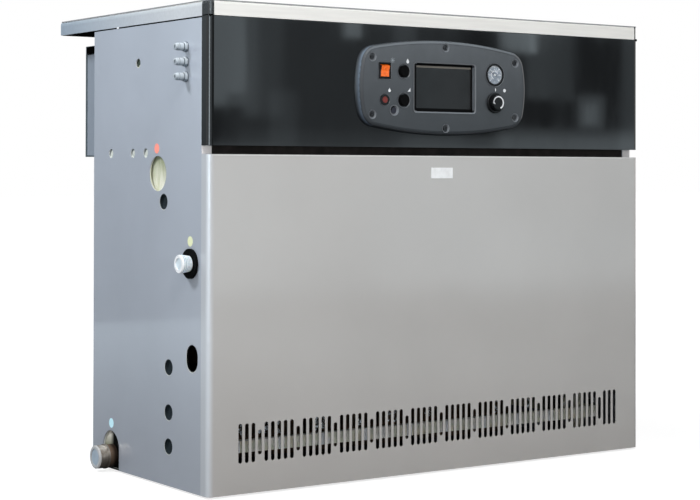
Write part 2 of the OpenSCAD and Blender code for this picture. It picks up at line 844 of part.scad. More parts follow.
module boiler_block() {
    color("saddlebrown") {
        for (i = [0 : section_count - 1]) translate([section_x(i), front_y, 0])
            rotate([90, 0, 90]) linear_extrude(section_w) section_outline();
        for (z = [block_z + nipple_z, flow_z]) rod_x(nipple_x, front_y + flow_y, z, nipple_r);
    }
}

// Lower rear water legs of the sections, in front of the rear panel
module water_legs() {
    y = [leg_front, leg_front + leg_d - section_r];
    color("saddlebrown") {
        for (i = [0 : section_count - 1])
            block([section_x(i), section_x(i) + section_w], y, [pan_t, block_z]);
        rod_x(nipple_x, front_y + return_y, return_z, nipple_r);
    }
}

// Near face of section i
function section_x(i) = i * (section_w + section_gap) - block_w / 2;

module block_stand() {
    y = front_y + block_y + stand_y;
    color("dimgray") for (s = [-1, 1])
        block(about(s * (block_w - stand_w) / 2, stand_w / 2), [y, y + stand_d], [pan_t, block_z]);
}

module flue_collector() {
    color("silver") block(about(0, block_w / 2),
        [front_y + block_y + collector_y, rear_face - sheet_t], [block_top, collector_top]);
}

// Mineral wool slab on the block's left end, stepped back over the burner compartment
module wool_slab() {
    step_z = flow_z - wool_drop;
    rear = front_y + block_y + block_d + wool_over;
    x = [-block_w / 2 - wool_t, -block_w / 2];
    block(x, [front_y + block_y + wool_y, rear], [return_z + water_r + wool_clear, step_z + eps]);
    block(x, [front_y + block_y, rear], [step_z, wool_top]);
}

module block_insulation() {
    color("darkkhaki") {
        wool_slab();
        difference() {
            mirror([1, 0, 0]) wool_slab();
            rod_x([block_w / 2 - 1, side_x], front_y + flow_y, flow_z, water_r + wool_clear);
        }
    }
}

// Sideways place of burner tube i
function burner_x(i) = (i - (burner_count - 1) / 2) * burner_pitch;

module burner_tubes() {
    color("darkgray") for (i = [0 : burner_count - 1])
        rod_y(burner_x(i), [manifold_y + manifold_r + injector_l, leg_front], burner_z, burner_r);
}

module burner_rail() {
    x = about(0, block_w / 2);
    y = front_y + rail_y;
    post = [front_y + post_y, front_y + post_y + rail_t];
    color("lightgray") {
        block(x, [y, y + rail_t], [rail_z, rail_z + rail_h]);
        block(x, post, [burner_z - burner_r - burner_bar_h, burner_z - burner_r]);
        for (s = [-1, 1]) {
            end = about(s * (block_w - stand_w) / 2, stand_w / 2);
            block(end, post, [pan_t, burner_z - burner_r]);
            block(end, [y, post[1]], [rail_z, rail_z + rail_h]);
        }
    }
}

module gas_manifold() {
    color("peru") {
        rod_x([tee_x, block_w / 2], manifold_y, burner_z, manifold_r);
        for (i = [0 : burner_count - 1]) rod_y(burner_x(i),
            [manifold_y, manifold_y + manifold_r + injector_l], burner_z, injector_r);
    }
}

module gas_pipe() {
    end = -side_x - gas_out;
    color("gray") difference() {
        union() {
            rod_x([end, -drop_x], manifold_y, gas_z, gas_r);
            translate([-drop_x, manifold_y, burner_z - gas_r])
                cylinder(r = gas_r, h = gas_z - burner_z + gas_r);
            translate([-drop_x, manifold_y, gas_z]) sphere(gas_r);
            rod_x([-drop_x, tee_x], manifold_y, burner_z, gas_r);
        }
        rod_x([end - 1, end + gas_bore], manifold_y, gas_z, gas_bore_r);
    }
}

// Rubber ring round the gas pipe, with a lip over the pipe's end
module gas_grommet() {
    color("black") difference() {
        union() {
            rod_x([-side_x - grommet_t, -side_x], manifold_y, gas_z, gas_hole_r + grommet_lip);
            rod_x([-side_x - eps, -inner_x], manifold_y, gas_z, gas_hole_r - fit);
        }
        rod_x([-side_x - gas_out, -inner_x + 1], manifold_y, gas_z, gas_r + fit);
        rod_x([-side_x - grommet_t - 1, -side_x], manifold_y, gas_z, gas_bore_r + fit);
    }
}

// Tapered plastic plug in the gas pipe's end, with rings round its taper
module gas_cap() {
    seat_r = gas_bore_r - fit;
    taper = plug_out - plug_flange_l - grommet_t;
    step = taper / (plug_rings + 1);
    color("white") translate([-side_x, manifold_y, gas_z]) rotate([0, -90, 0]) rotate_extrude()
        polygon(concat(
            [[0, gas_out - plug_insert], [seat_r, gas_out - plug_insert], [seat_r, grommet_t]],
            [for (i = [1 : plug_rings], c = [[-1, 0], [-1, 1], [1, 1], [1, 0]])
                let (along = i * step + c[0] * plug_ring_t / 2)
                [seat_r + (plug_r - seat_r) * along / taper + c[1] * plug_ring_t, grommet_t + along]],
            [[plug_r, plug_out - plug_flange_l], [plug_r, plug_out - plug_ring_t],
                [plug_r - plug_ring_t, plug_out], [plug_dish_r, plug_out],
                [plug_dish_r, plug_out - dish_d], [0, plug_out - dish_d]]));
}

// Water pipe that leaves the block's left end at a port
module water_pipe(y, z) {
    x = [-side_x - water_out, -block_w / 2];
    difference() {
        rod_x(x, front_y + y, z, water_r);
        rod_x([x[0] - 1, x[0] + water_bore], front_y + y, z, water_bore_r);
    }
}

module return_pipe() {
    x = collar_back - side_x - water_out;
    color("gray") {
        water_pipe(return_y, return_z);
        difference() {
            rod_x([x, x + collar_l], front_y + return_y, return_z, water_r + collar_t);
            rod_x([x - 1, x + collar_l + 1], front_y + return_y, return_z, water_r - eps);
        }
    }
}

// End cap that plugs the return pipe
module return_cap() {
    rim_r = water_r - pipe_cap_rim;
    top = pipe_cap_t;
    color("gainsboro") translate([-side_x - water_out, front_y + return_y, return_z])
        rotate([0, -90, 0]) rotate_extrude() {
            polygon([[0, -pipe_cap_l], [water_bore_r - fit, -pipe_cap_l], [water_bore_r - fit, 0],
                [water_r, 0], [water_r, top - pipe_cap_rim], [rim_r, top], [pipe_dish_r, top],
                [pipe_dish_r, top - dish_d], [0, top - dish_d]]);
            translate([rim_r, top - pipe_cap_rim]) intersection() {
                circle(pipe_cap_rim);
                square(pipe_cap_rim);
            }
        }
}

module flow_pipe() {
    color("gray") mirror([1, 0, 0]) water_pipe(flow_y, flow_z);
}

// Cable gland: hexagonal base nut, body and narrower tip with a blind mouth
module cable_gland(z) {
    y = front_y + gland_y;
    tip = -side_x - gland_out;
    color("white") difference() {
        union() {
            translate([-side_x, y, z]) rotate([0, -90, 0])
                cylinder(r = gland_r + gland_nut_over, h = gland_nut_t, $fn = 6);
            rod_x([tip + gland_tip_l, eps - side_x - gland_nut_t], y, z, gland_r);
            rod_x([tip, tip + gland_tip_l + eps], y, z, gland_r - gland_tip_step);
            rod_x([-side_x - eps, gland_nut_t - inner_x], y, z, gland_foot_r - fit);
        }
        rod_x([tip - 1, tip + gland_mouth_d], y, z, gland_mouth_r);
    }
}

module cable_gland_upper() { cable_gland(gland_z + gland_pitch); }

module cable_gland_middle() { cable_gland(gland_z); }

module cable_gland_lower() { cable_gland(gland_z - gland_pitch); }

module draught_hood() {
    groove = [hood_z + hood_h - relief_h, hood_z + hood_h - hood_plate_t];
    color("silver") difference() {
        block([-hood_half_w, hood_half_w], [rear_face, back_y + hood_d], [hood_z, hood_z + hood_h]);
        for (s = [-1, 1]) mirror([s > 0 ? 1 : 0, 0, 0])
            block([-hood_half_w - 1, relief_d - hood_half_w],
                [back_y + sheet_t, back_y + hood_d - hood_plate_t], groove);
        rod_y(0, [back_y + hood_d - flue_depth, back_y + hood_d + 1], hood_z + hood_h / 2,
            flue_r - sheet_t, $fn = 128);
    }
}

module flue_spigot() {
    y = back_y + hood_d;
    color("silver") difference() {
        rod_y(0, [y, y + flue_l], hood_z + hood_h / 2, flue_r, $fn = 128);
        rod_y(0, [y - 1, y + flue_l + 1], hood_z + hood_h / 2, flue_r - sheet_t, $fn = 128);
    }
}

base_frame();
left_side_panel();
right_side_panel();
rear_panel();
front_crossbar();
lid_rails();
lid();
lid_end_left();
lid_end_right();
control_fascia();
control_chassis();
control_bezel();
bezel_screws();
display_window();
switch_frame();
switch_rocker();
limit_cap_upper();
limit_cap_lower();
lamp_ring();
lamp_lens();
reset_button();
gauge_ring();
gauge_dial();
temperature_knob();
front_door();
door_plate();
boiler_block();
water_legs();
block_stand();
flue_collector();
block_insulation();
burner_tubes();
burner_rail();
gas_manifold();
gas_pipe();
gas_grommet();
gas_cap();
return_pipe();
return_cap();
flow_pipe();
cable_gland_upper();
cable_gland_middle();
cable_gland_lower();
draught_hood();
flue_spigot();
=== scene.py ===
"""Looks of the floor-standing gas boiler: finishes for its CAD nodes, and its small trim, with light and
shade painted into some of them.

Sizes and places on the boiler are in mm. The camera, the lamps and the room are in metres,
and so are the sizes of the patterns in the finishes.
"""

import json
import math
import random

import bmesh
import bpy
from mathutils import Matrix, Vector


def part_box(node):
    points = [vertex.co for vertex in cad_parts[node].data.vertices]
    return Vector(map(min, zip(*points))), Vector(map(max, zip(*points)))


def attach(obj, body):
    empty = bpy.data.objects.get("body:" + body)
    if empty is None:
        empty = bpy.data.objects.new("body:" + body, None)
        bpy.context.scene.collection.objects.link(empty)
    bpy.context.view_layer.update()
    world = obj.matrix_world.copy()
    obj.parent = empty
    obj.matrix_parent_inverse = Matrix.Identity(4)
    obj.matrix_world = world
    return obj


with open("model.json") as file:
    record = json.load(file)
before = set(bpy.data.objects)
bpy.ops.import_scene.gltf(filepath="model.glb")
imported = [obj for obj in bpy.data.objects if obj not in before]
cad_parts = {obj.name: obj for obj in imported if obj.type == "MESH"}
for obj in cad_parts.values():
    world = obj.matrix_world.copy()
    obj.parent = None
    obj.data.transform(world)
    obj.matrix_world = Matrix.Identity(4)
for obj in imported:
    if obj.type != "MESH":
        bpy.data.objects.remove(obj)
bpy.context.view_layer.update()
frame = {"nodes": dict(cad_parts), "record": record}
MM = 0.001
WHITE = (1, 1, 1)
EVEN = (1, 1, 1)
SIDES = (-1, 1)

# Camera, as the object is seen from its front left, low over the floor
CAMERA_PLACE = (-2.0138, -2.8371, 0.5627)
CAMERA_YAW = 34.585
CAMERA_PITCH = 0.643
CAMERA_ROLL = 0.13
CAMERA_LENS = 91.05
CAMERA_SHIFT = -0.143


def box(node):
    """Low corner, high corner and middle of a CAD node."""
    low, high = (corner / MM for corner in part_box(node))
    return low, high, (low + high) / 2


def middle(node):
    return box(node)[2]


def extent(node):
    """Sizes of a CAD node's box."""
    low, high, _ = box(node)
    return high - low


# Driving planes and points of the object
FRONT = box("front_door")[0].y
PANEL_FRONT = box("left_side_panel")[0].y
LEFT = box("left_side_panel")[0].x
RIGHT = box("right_side_panel")[1].x
BEZEL_LOW, BEZEL_HIGH, BEZEL_CENTRE = box("control_bezel")
BEZEL_FACE = BEZEL_LOW.y
BEZEL_MID = BEZEL_CENTRE.z
BEZEL_BOW, BEZEL_SIDE, BEZEL_CORNER = 900, 210, 34
BEZEL_EDGE = 7.2
GASKET_EDGE = 4.2
RAIL_LOW, RAIL_TOP = 64.5, 86

# Corner screws of the bezel, from its middle, and how far the other two are set in
SCREW_ACROSS, SCREW_UP, SCREW_INSET = 167, 52, 3.8

# Round holes of the left panel: behind the front and above the floor
SMALL_HOLES = ((227, 592), (277, 592), (364, 592), (257, 756))
SERVICE_HOLES = ((138, 74), (138, 134), (138, 213.5), (158.5, 505.5))
OBLONG_HOLE = (54.5, 236)

# Slots of the door, counted from the left, that show foil (and how wide) or a bright clip
SLOT_PITCH, SLOTS_TO_MIDDLE = 13.2, 33
FOIL = ((0, 1), (3, 1), (4, 1), (6, 1.2), (12, 1), (13, 1), (19, 1), (24, 1), (25, 1), (31, 1), (43, 0.8),
        (49, 0.8), (56, 0.8), (62, 0.8))
RAIL_CLIPS = (2, 9, 16, 23, 30.5, 37.5, 44, 50.5, 57)


# ---------------------------------------------------------------- node tools

def shader_of(mat):
    return mat.node_tree.nodes["Principled BSDF"]


def set_sockets(mat, **sockets):
    """Constants on the material's Principled shader."""
    for socket, value in sockets.items():
        shader_of(mat).inputs[socket.replace("_", " ")].default_value = value


def add_node(holder, kind, **inputs):
    """New node in the tree of a material or world, with these constants."""
    new = holder.node_tree.nodes.new(kind)
    for socket, value in inputs.items():
        new.inputs[socket.replace("_", " ")].default_value = value
    return new


def join(holder, source, target):
    holder.node_tree.links.new(source, target)


def combine(holder, operation, first, second):
    """Result of a sum on two values."""
    result = add_node(holder, "ShaderNodeMath")
    result.operation = operation
    join(holder, first, result.inputs[0])
    join(holder, second, result.inputs[1])
    return result.outputs[0]


def times(mat, first, second):
    return combine(mat, "MULTIPLY", first, second)


def noise(mat, size, detail=3, stretch=EVEN, rough=0.5):
    """Noise in object space with features of a given size in metres."""
    place = add_node(mat, "ShaderNodeTexCoord")
    scale = add_node(mat, "ShaderNodeMapping", Scale=[s / size for s in stretch])
    pattern = add_node(mat, "ShaderNodeTexNoise", Scale=1, Detail=detail, Roughness=rough)
    join(mat, place.outputs["Object"], scale.inputs["Vector"])
    join(mat, scale.outputs["Vector"], pattern.inputs["Vector"])
    return pattern.outputs["Fac"]


def spread(mat, value, low, high, start=0.3, end=0.7):
    """The value, stretched from start..end to low..high."""
    span = add_node(mat, "ShaderNodeMapRange", From_Min=start, From_Max=end, To_Min=low, To_Max=high)
    join(mat, value, span.inputs["Value"])
    return span.outputs["Result"]


def along(mat, axis):
    """The object's X, Y or Z."""
    place, split = add_node(mat, "ShaderNodeTexCoord"), add_node(mat, "ShaderNodeSeparateXYZ")
    join(mat, place.outputs["Object"], split.inputs["Vector"])
    return split.outputs[axis]


def axis_blend(mat, axis, low, high):
    """0 where the object's X, Y or Z is low (in mm) and 1 where it is high."""
    return spread(mat, along(mat, axis), 0, 1, low * MM, high * MM)


def repeat_blend(mat, axis, start, pitch, low, high):
    """Like axis_blend, but over again at every pitch from the start."""
    turn = add_node(mat, "ShaderNodeMath")
    turn.operation = "WRAP"
    turn.inputs[1].default_value, turn.inputs[2].default_value = (start + pitch) * MM, start * MM
    join(mat, along(mat, axis), turn.inputs[0])
    return spread(mat, turn.outputs[0], 0, 1, low * MM, high * MM)


def two_tone(mat, value, first, second, start=0.35, end=0.65):
    """Base colour that goes from first to second with the value."""
    ramp = add_node(mat, "ShaderNodeValToRGB")
    for element, position, colour in zip(ramp.color_ramp.elements, (start, end), (first, second)):
        element.position = position
        element.color = (*colour, 1)
    join(mat, value, ramp.inputs["Fac"])
    join(mat, ramp.outputs["Color"], shader_of(mat).inputs["Base Color"])
    return ramp


def tint(mat, value, first, second):
    """Multiply the base colour by a colour that goes from first to second with the value."""
    base = shader_of(mat).inputs["Base Color"]
    before = base.links[0].from_socket
    ramp = two_tone(mat, value, first, second, 0, 1)
    mix = add_node(mat, "ShaderNodeMixRGB", Fac=1)
    mix.blend_type = "MULTIPLY"
    join(mat, before, mix.inputs["Color1"])
    join(mat, ramp.outputs["Color"], mix.inputs["Color2"])
    join(mat, mix.outputs["Color"], base)


def relief(mat, value, depth, edge=0.0):
    """Bump of a given depth in metres, with edges rounded by the given radius."""
    bump = add_node(mat, "ShaderNodeBump", Distance=depth, Strength=1)
    join(mat, value, bump.inputs["Height"])
    if edge:
        bevel = add_node(mat, "ShaderNodeBevel", Radius=edge)
        bevel.samples = 4
        join(mat, bevel.outputs["Normal"], bump.inputs["Normal"])
    join(mat, bump.outputs["Normal"], shader_of(mat).inputs["Normal"])


def shade(colour, factor):
    return tuple(c * factor for c in colour)


# ---------------------------------------------------------------- finishes

def finish(name, colour, roughness, tones=None, clouds=None, gloss=None, grain=None, **sockets):
    """New material with a mottled colour, an uneven gloss and a fine relief.

    tones: two colours, or factors on the colour, between which the noise of clouds goes
    gloss: a noise, and the lowest and highest roughness that it gives
    grain: a noise, the depth of its relief, and the radius by which edges look rounded
    """
    mat = bpy.data.materials.new(name)
    mat.use_nodes = True
    set_sockets(mat, Base_Color=(*colour, 1), Roughness=roughness, **sockets)
    if tones:
        two_tone(mat, noise(mat, *clouds), *(shade(colour, t) if isinstance(t, float) else t for t in tones))
    if gloss:
        pattern, low, high = gloss
        join(mat, spread(mat, noise(mat, *pattern), low, high), shader_of(mat).inputs["Roughness"])
    if grain:
        pattern, *depths = grain
        relief(mat, noise(mat, *pattern), *depths)
    return mat


def painted_sheet(name, colour, roughness=0.4, coat=1.0, coat_roughness=0.1, metal=0.0):
    """Satin lacquer on sheet metal: faint clouds, orange peel and slightly uneven gloss."""
    return finish(name, colour, roughness, (0.965, 1.035), (0.35, 4),
                  ((0.05, 5), roughness - 0.04, roughness + 0.05), ((0.0016, 2), 0.000006, 0.0006),
                  Coat_Weight=coat, Coat_Roughness=coat_roughness, Metallic=metal)


def brushed_sheet(name, colour):
    """Pale sheet of the lid, brushed along its edges, with painted shade that makes it darker and bluer
    towards the rear, painted cool light that makes its left side bluer, and a painted highlight in a band
    high on that side.
    """
    mat = finish(name, colour, 0.3, (0.97, 1.03), (0.006, 3, (0.05, 1, 1)),
                 ((0.03, 4, (0.1, 1, 1)), 0.28, 0.36), ((0.005, 2, (0.05, 1, 1)), 0.000002), Metallic=0.4)
    low, high, _ = box("lid")
    # Painted shade: darker and bluer towards the rear.
    tint(mat, axis_blend(mat, "Y", -100, 360), WHITE, (0.495, 0.575, 0.66))
    # Greyer over the lid's top, fading out 0.8 mm below it.
    tint(mat, axis_blend(mat, "Z", high.z - 0.8, high.z - 0.1), WHITE, (0.60, 0.61, 0.63))
    # Painted cool light on the left side, and a painted highlight in a band high on it.
    side = axis_blend(mat, "X", low.x + 1.2, low.x + 0.2)
    tint(mat, side, WHITE, (0.80, 0.865, 0.955))
    upper = axis_blend(mat, "Z", high.z - 10.5, high.z - 7.5)
    tint(mat, times(mat, side, upper), WHITE, (1.14, 1.14, 1.12))
    return mat


def moulded_plastic(name, colour, roughness, grain=0.0008, depth=0.00002, edge=0.0004):
    """Injection-moulded plastic with a fine spark-eroded grain."""
    return finish(name, colour, roughness, (0.93, 1.07), (0.03, 4),
                  ((0.01, 4), roughness - 0.04, roughness + 0.06), ((grain, 2), depth, edge))


def gloss_plastic(name, colour, roughness, **sockets):
    """Smooth shiny plastic, hardly mottled."""
    return finish(name, colour, roughness, (0.94, 1.06), (0.012, 3),
                  ((0.006, 3), roughness - 0.03, roughness + 0.05), ((0.004, 2), 0.00001, 0.0003), **sockets)


def deep_black(name, roughness, gloss, colour=(0.004, 0.004, 0.0045)):
    """Black or nearly black plastic with a weak sheen."""
    mat = moulded_plastic(name, colour, roughness)
    set_sockets(mat, Specular_IOR_Level=gloss)
    return mat


def void_black(name, colour):
    """Flat dark with no gloss at all, for dark joints and for painted shade in gaps and recesses."""
    return finish(name, colour, 0.9, (0.8, 1.2), (0.02, 4), None, ((0.003, 3), 0.00005), IOR=1.0)


def rounded_black(name):
    """Black plastic of the lid's ends, whose edges are softly rounded."""
    return finish(name, (0.010, 0.011, 0.012), 0.25, ((0.008, 0.009, 0.010), (0.012, 0.013, 0.014)),
                  (0.02, 3), ((0.01, 3), 0.22, 0.30), ((0.001, 2), 0.00001, 0.0035), Specular_IOR_Level=0.6)


def gloss_black(name):
    """Deep black lacquer with the long waves of a thin sheet and a few wiping marks."""
    return finish(name, (0.004, 0.004, 0.0045), 0.04, ((0.0035, 0.0035, 0.004), (0.005, 0.005, 0.0055)),
                  (0.2, 3), ((0.04, 6, (1, 1, 0.3)), 0.03, 0.07), ((0.16, 1, (1, 1, 0.5)), 0.00022, 0.0006))


def rubber(name):
    return finish(name, (0.003, 0.003, 0.003), 0.55, ((0.002, 0.002, 0.002), (0.004, 0.004, 0.004)),
                  (0.01, 4), ((0.005, 4), 0.45, 0.65), ((0.0012, 4), 0.00006, 0.0006),
                  Specular_IOR_Level=0.02)


def printed(name, colour):
    """Matt screen-printed ink or a paper dot."""
    return finish(name, colour, 0.55, (0.94, 1.04), (0.002, 4), None, ((0.0006, 3), 0.00001))


def clear_glass(name):
    return finish(name, WHITE, 0.0, gloss=((0.01, 3), 0.0, 0.02), Transmission_Weight=1, IOR=1.3)


def display_glass(name):
    """Smoked cover glass over an unlit display."""
    return finish(name, (0.018, 0.02, 0.022), 0.1, ((0.011, 0.012, 0.013), (0.018, 0.019, 0.020)),
                  (0.12, 1, (1, 1, 0.1)), ((0.03, 5), 0.08, 0.14), Coat_Weight=0.2, Coat_Roughness=0.02)


def zinc(name, dark, light, roughness):
    """Galvanised sheet: grains that differ in tone, and a dull bloom."""
    mat = finish(name, light, roughness, gloss=((0.02, 4), roughness - 0.06, roughness + 0.1),
                 grain=((0.003, 3), 0.00002, 0.0006), Metallic=0.75)
    place, grey = add_node(mat, "ShaderNodeTexCoord"), add_node(mat, "ShaderNodeSeparateColor")
    cells = add_node(mat, "ShaderNodeTexVoronoi", Scale=1 / 0.009)
    join(mat, place.outputs["Object"], cells.inputs["Vector"])
    join(mat, cells.outputs["Color"], grey.inputs["Color"])
    two_tone(mat, grey.outputs["Red"], dark, light, 0.1, 0.9)
    return mat


def stained_zinc(name):
    """Zinc-coated burner rail with heat tints and grime."""
    mat = finish(name, (0.8, 0.77, 0.68), 0.5, gloss=((0.01, 4), 0.4, 0.65),
                 grain=((0.003, 4), 0.00004, 0.0005))
    ramp = two_tone(mat, noise(mat, 0.03, 5, EVEN, 0.6), (0.62, 0.56, 0.42), (0.92, 0.93, 0.94), 0.3, 0.68)
    tints = ((0.40, (0.80, 0.76, 0.62)), (0.5, (0.74, 0.78, 0.66)), (0.58, (0.88, 0.86, 0.80)))
    for position, colour in tints:
        ramp.color_ramp.elements.new(position).color = (*colour, 1)
    return mat


def foil(name):
    """Crumpled aluminium foil."""
    return finish(name, (0.55, 0.60, 0.64), 0.35, ((0.25, 0.28, 0.30), (0.85, 0.90, 0.95)),
                  (0.002, 3), ((0.003, 3), 0.25, 0.5), ((0.001, 4), 0.0003), Metallic=0.3)


def bare_steel(name, dark, light, roughness):
    """Dull drawn steel with an oxide film."""
    return finish(name, light, roughness, (dark, light), (0.02, 6, EVEN, 0.6),
                  ((0.008, 4), roughness - 0.08, roughness + 0.1), ((0.0012, 3), 0.00003, 0.0004),
                  Metallic=0.85)


def cast_iron(name):
    """Sand-cast iron, brown with flash rust."""
    return finish(name, (0.1, 0.06, 0.04), 0.8, ((0.045, 0.03, 0.022), (0.16, 0.085, 0.045)),
                  (0.03, 8, EVEN, 0.65), ((0.01, 4), 0.7, 0.9), ((0.0025, 8, EVEN, 0.7), 0.0006, 0.001))


def mineral_wool(name):
    """Yellow-green wool with matted fibres that run along the slab; painted light makes it paler and bluer
    low in the flow hole and below, and painted shade darkens it towards the hole's top and above.
    """
    mat = finish(name, (0.6, 0.62, 0.36), 0.95, ((0.58, 0.60, 0.34), (0.88, 0.88, 0.66)),
                 (0.010, 8, (1, 1, 0.25), 0.6), ((0.01, 2), 0.85, 1),
                 ((0.003, 8, (1, 1, 0.2), 0.75), 0.0014), Sheen_Weight=0.3)
    flow = middle("flow_pipe").z
    # Painted light low in the flow hole, and painted shade towards its top and above.
    tint(mat, axis_blend(mat, "Z", flow - 32, flow + 32), (1.25, 1.22, 1.45), (0.30, 0.34, 0.24))
    return mat


def side_panel_finish(name):
    """Lacquer of the cabinet's sides: a darker, bluer copy of the door's paint as painted cool side light,
    with painted shade that darkens it towards the floor and painted light that brightens it towards the
    front.
    """
    mat = painted_sheet(name, (0.375, 0.41, 0.475), 0.4, 1.0, 0.06, 0.1)
    # Painted shade towards the floor, and painted light towards the front.
    tint(mat, axis_blend(mat, "Z", 50, 700), (0.885, 0.865, 0.845), WHITE)
    tint(mat, axis_blend(mat, "Y", 0, FRONT), WHITE, (1.14, 1.14, 1.13))
    return mat


def door_finish(name):
    """The door's silver lacquer, with a bluish painted highlight on its left bend, and painted shade that
    makes the walls of its slots and its back nearly black.
    """
    mat = painted_sheet(name, (0.465, 0.443, 0.427), metal=0.2)
    # Painted bluish highlight on the left bend.
    tint(mat, axis_blend(mat, "X", LEFT + 12, LEFT + 3), WHITE, (1.12, 1.22, 1.34))
    # Painted shade: nearly black inside the slots and on the back, away from the bends.
    within = times(mat, axis_blend(mat, "X", LEFT + 28, LEFT + 30),
                   axis_blend(mat, "X", RIGHT - 28, RIGHT - 30))
    behind = axis_blend(mat, "Y", FRONT + 0.2, FRONT + 0.5)
    tint(mat, times(mat, within, behind), WHITE, (0.05, 0.05, 0.05))
    return mat


def bezel_finish(name):
    """Grained slate-grey plastic, with painted shade that darkens it towards its lower edge and its right
    end, and painted light that lightens it towards its top.
    """
    mat = moulded_plastic(name, (0.060, 0.066, 0.074), 0.34, edge=0.0009)
    set_sockets(mat, Coat_Weight=0.5, Coat_Roughness=0.18, Specular_IOR_Level=0.35)
    # Painted light above and painted shade below, and painted shade towards the right end.
    tint(mat, axis_blend(mat, "Z", BEZEL_LOW.z, BEZEL_HIGH.z), (0.30, 0.31, 0.33), (1.26, 1.25, 1.25))
    tint(mat, axis_blend(mat, "X", 0, BEZEL_HIGH.x), WHITE, (0.85, 0.85, 0.85))
    return mat


def bezel_rim_finish(name):
    """The bezel's plastic on its round edge, with painted shade that darkens its foot and a bluish painted
    highlight on its left bend.
    """
    mat = bezel_finish(name)
    set_sockets(mat, Coat_Weight=0.1, Specular_IOR_Level=0.15)
    # Painted shade at the foot.
    tint(mat, axis_blend(mat, "Y", FRONT - 0.5, FRONT - 5), (0.10, 0.11, 0.13), WHITE)
    # Bluish painted highlight on the left bend.
    bend = times(mat, axis_blend(mat, "Y", FRONT - 1.5, FRONT - 6),
                 axis_blend(mat, "Y", BEZEL_FACE + 0.1, BEZEL_FACE + 2.2))
    left = axis_blend(mat, "X", BEZEL_LOW.x + 36, BEZEL_LOW.x + 10)
    tint(mat, times(mat, left, bend), WHITE, (3.1, 3.6, 4.1))
    return mat


def rocker_plastic(name):
    """Orange switch rocker, with its sides in the shade of the frame."""
    mat = gloss_plastic(name, (0.95, 0.16, 0.01), 0.25)
    low, high, _ = box("switch_rocker")
    for start, end in ((low.x + 1, low.x + 2.2), (high.x - 1, high.x - 2.2)):
        tint(mat, axis_blend(mat, "X", start, end), (0.03, 0.03, 0.04), WHITE)
    return mat


def cap_plastic(name):
    """Slightly translucent plastic of the transport plug."""
    return gloss_plastic(name, (0.74, 0.78, 0.80), 0.3, Subsurface_Weight=0.15)


def gland_plastic(name):
    """White plastic of the cable glands, shaded on their undersides."""
    mat = gloss_plastic(name, (0.56, 0.61, 0.65), 0.3)
    lowest, above = middle("cable_gland_lower").z, middle("cable_gland_middle").z
    pitch = above - lowest
    under = repeat_blend(mat, "Z", lowest - pitch / 2, pitch, lowest - 7, lowest + 5)
    tint(mat, under, (0.34, 0.38, 0.42), WHITE)
    return mat


def pipe_steel(name):
    """Dull threaded steel pipe, with painted shade that makes it darker and browner on its underside."""
    mat = bare_steel(name, (0.13, 0.105, 0.085), (0.36, 0.32, 0.28), 0.42)
    water = middle("return_cap").z
    # Painted shade on the underside.
    tint(mat, axis_blend(mat, "Z", water - 21, water + 12), (0.30, 0.25, 0.22), WHITE)
    return mat


def pipe_brown(name):
    """Brown paint of the return pipe, in ever deeper painted shade towards the inside and on its underside.
    """
    mat = deep_black(name, 0.5, 0.1, (0.15, 0.105, 0.075))
    # Painted shade towards the inside, and on the underside.
    tint(mat, axis_blend(mat, "X", LEFT - 11, LEFT - 1), WHITE, (0.10, 0.08, 0.07))
    water = middle("return_cap").z
    tint(mat, axis_blend(mat, "Z", water - 18, water + 12), (0.2, 0.18, 0.18), WHITE)
    return mat


def boss_paint(name):
    """Casting behind the return pipe's notch, drawn pale as painted light; painted shade darkens it towards
    the front and low down, and painted light lightens it higher up.
    """
    mat = moulded_plastic(name, (0.56, 0.54, 0.48), 0.6, 0.004, 0.0003)
    set_sockets(mat, Specular_IOR_Level=0.03)
    water = middle("return_cap")
    # Painted shade towards the front and low down, painted light higher up.
    tint(mat, axis_blend(mat, "Y", water.y - 4, water.y + 10), (0.004, 0.004, 0.004), WHITE)
    tint(mat, axis_blend(mat, "Z", water.z + 16, water.z + 38), (0.35, 0.38, 0.28), (1.15, 1.15, 1.15))
    return mat


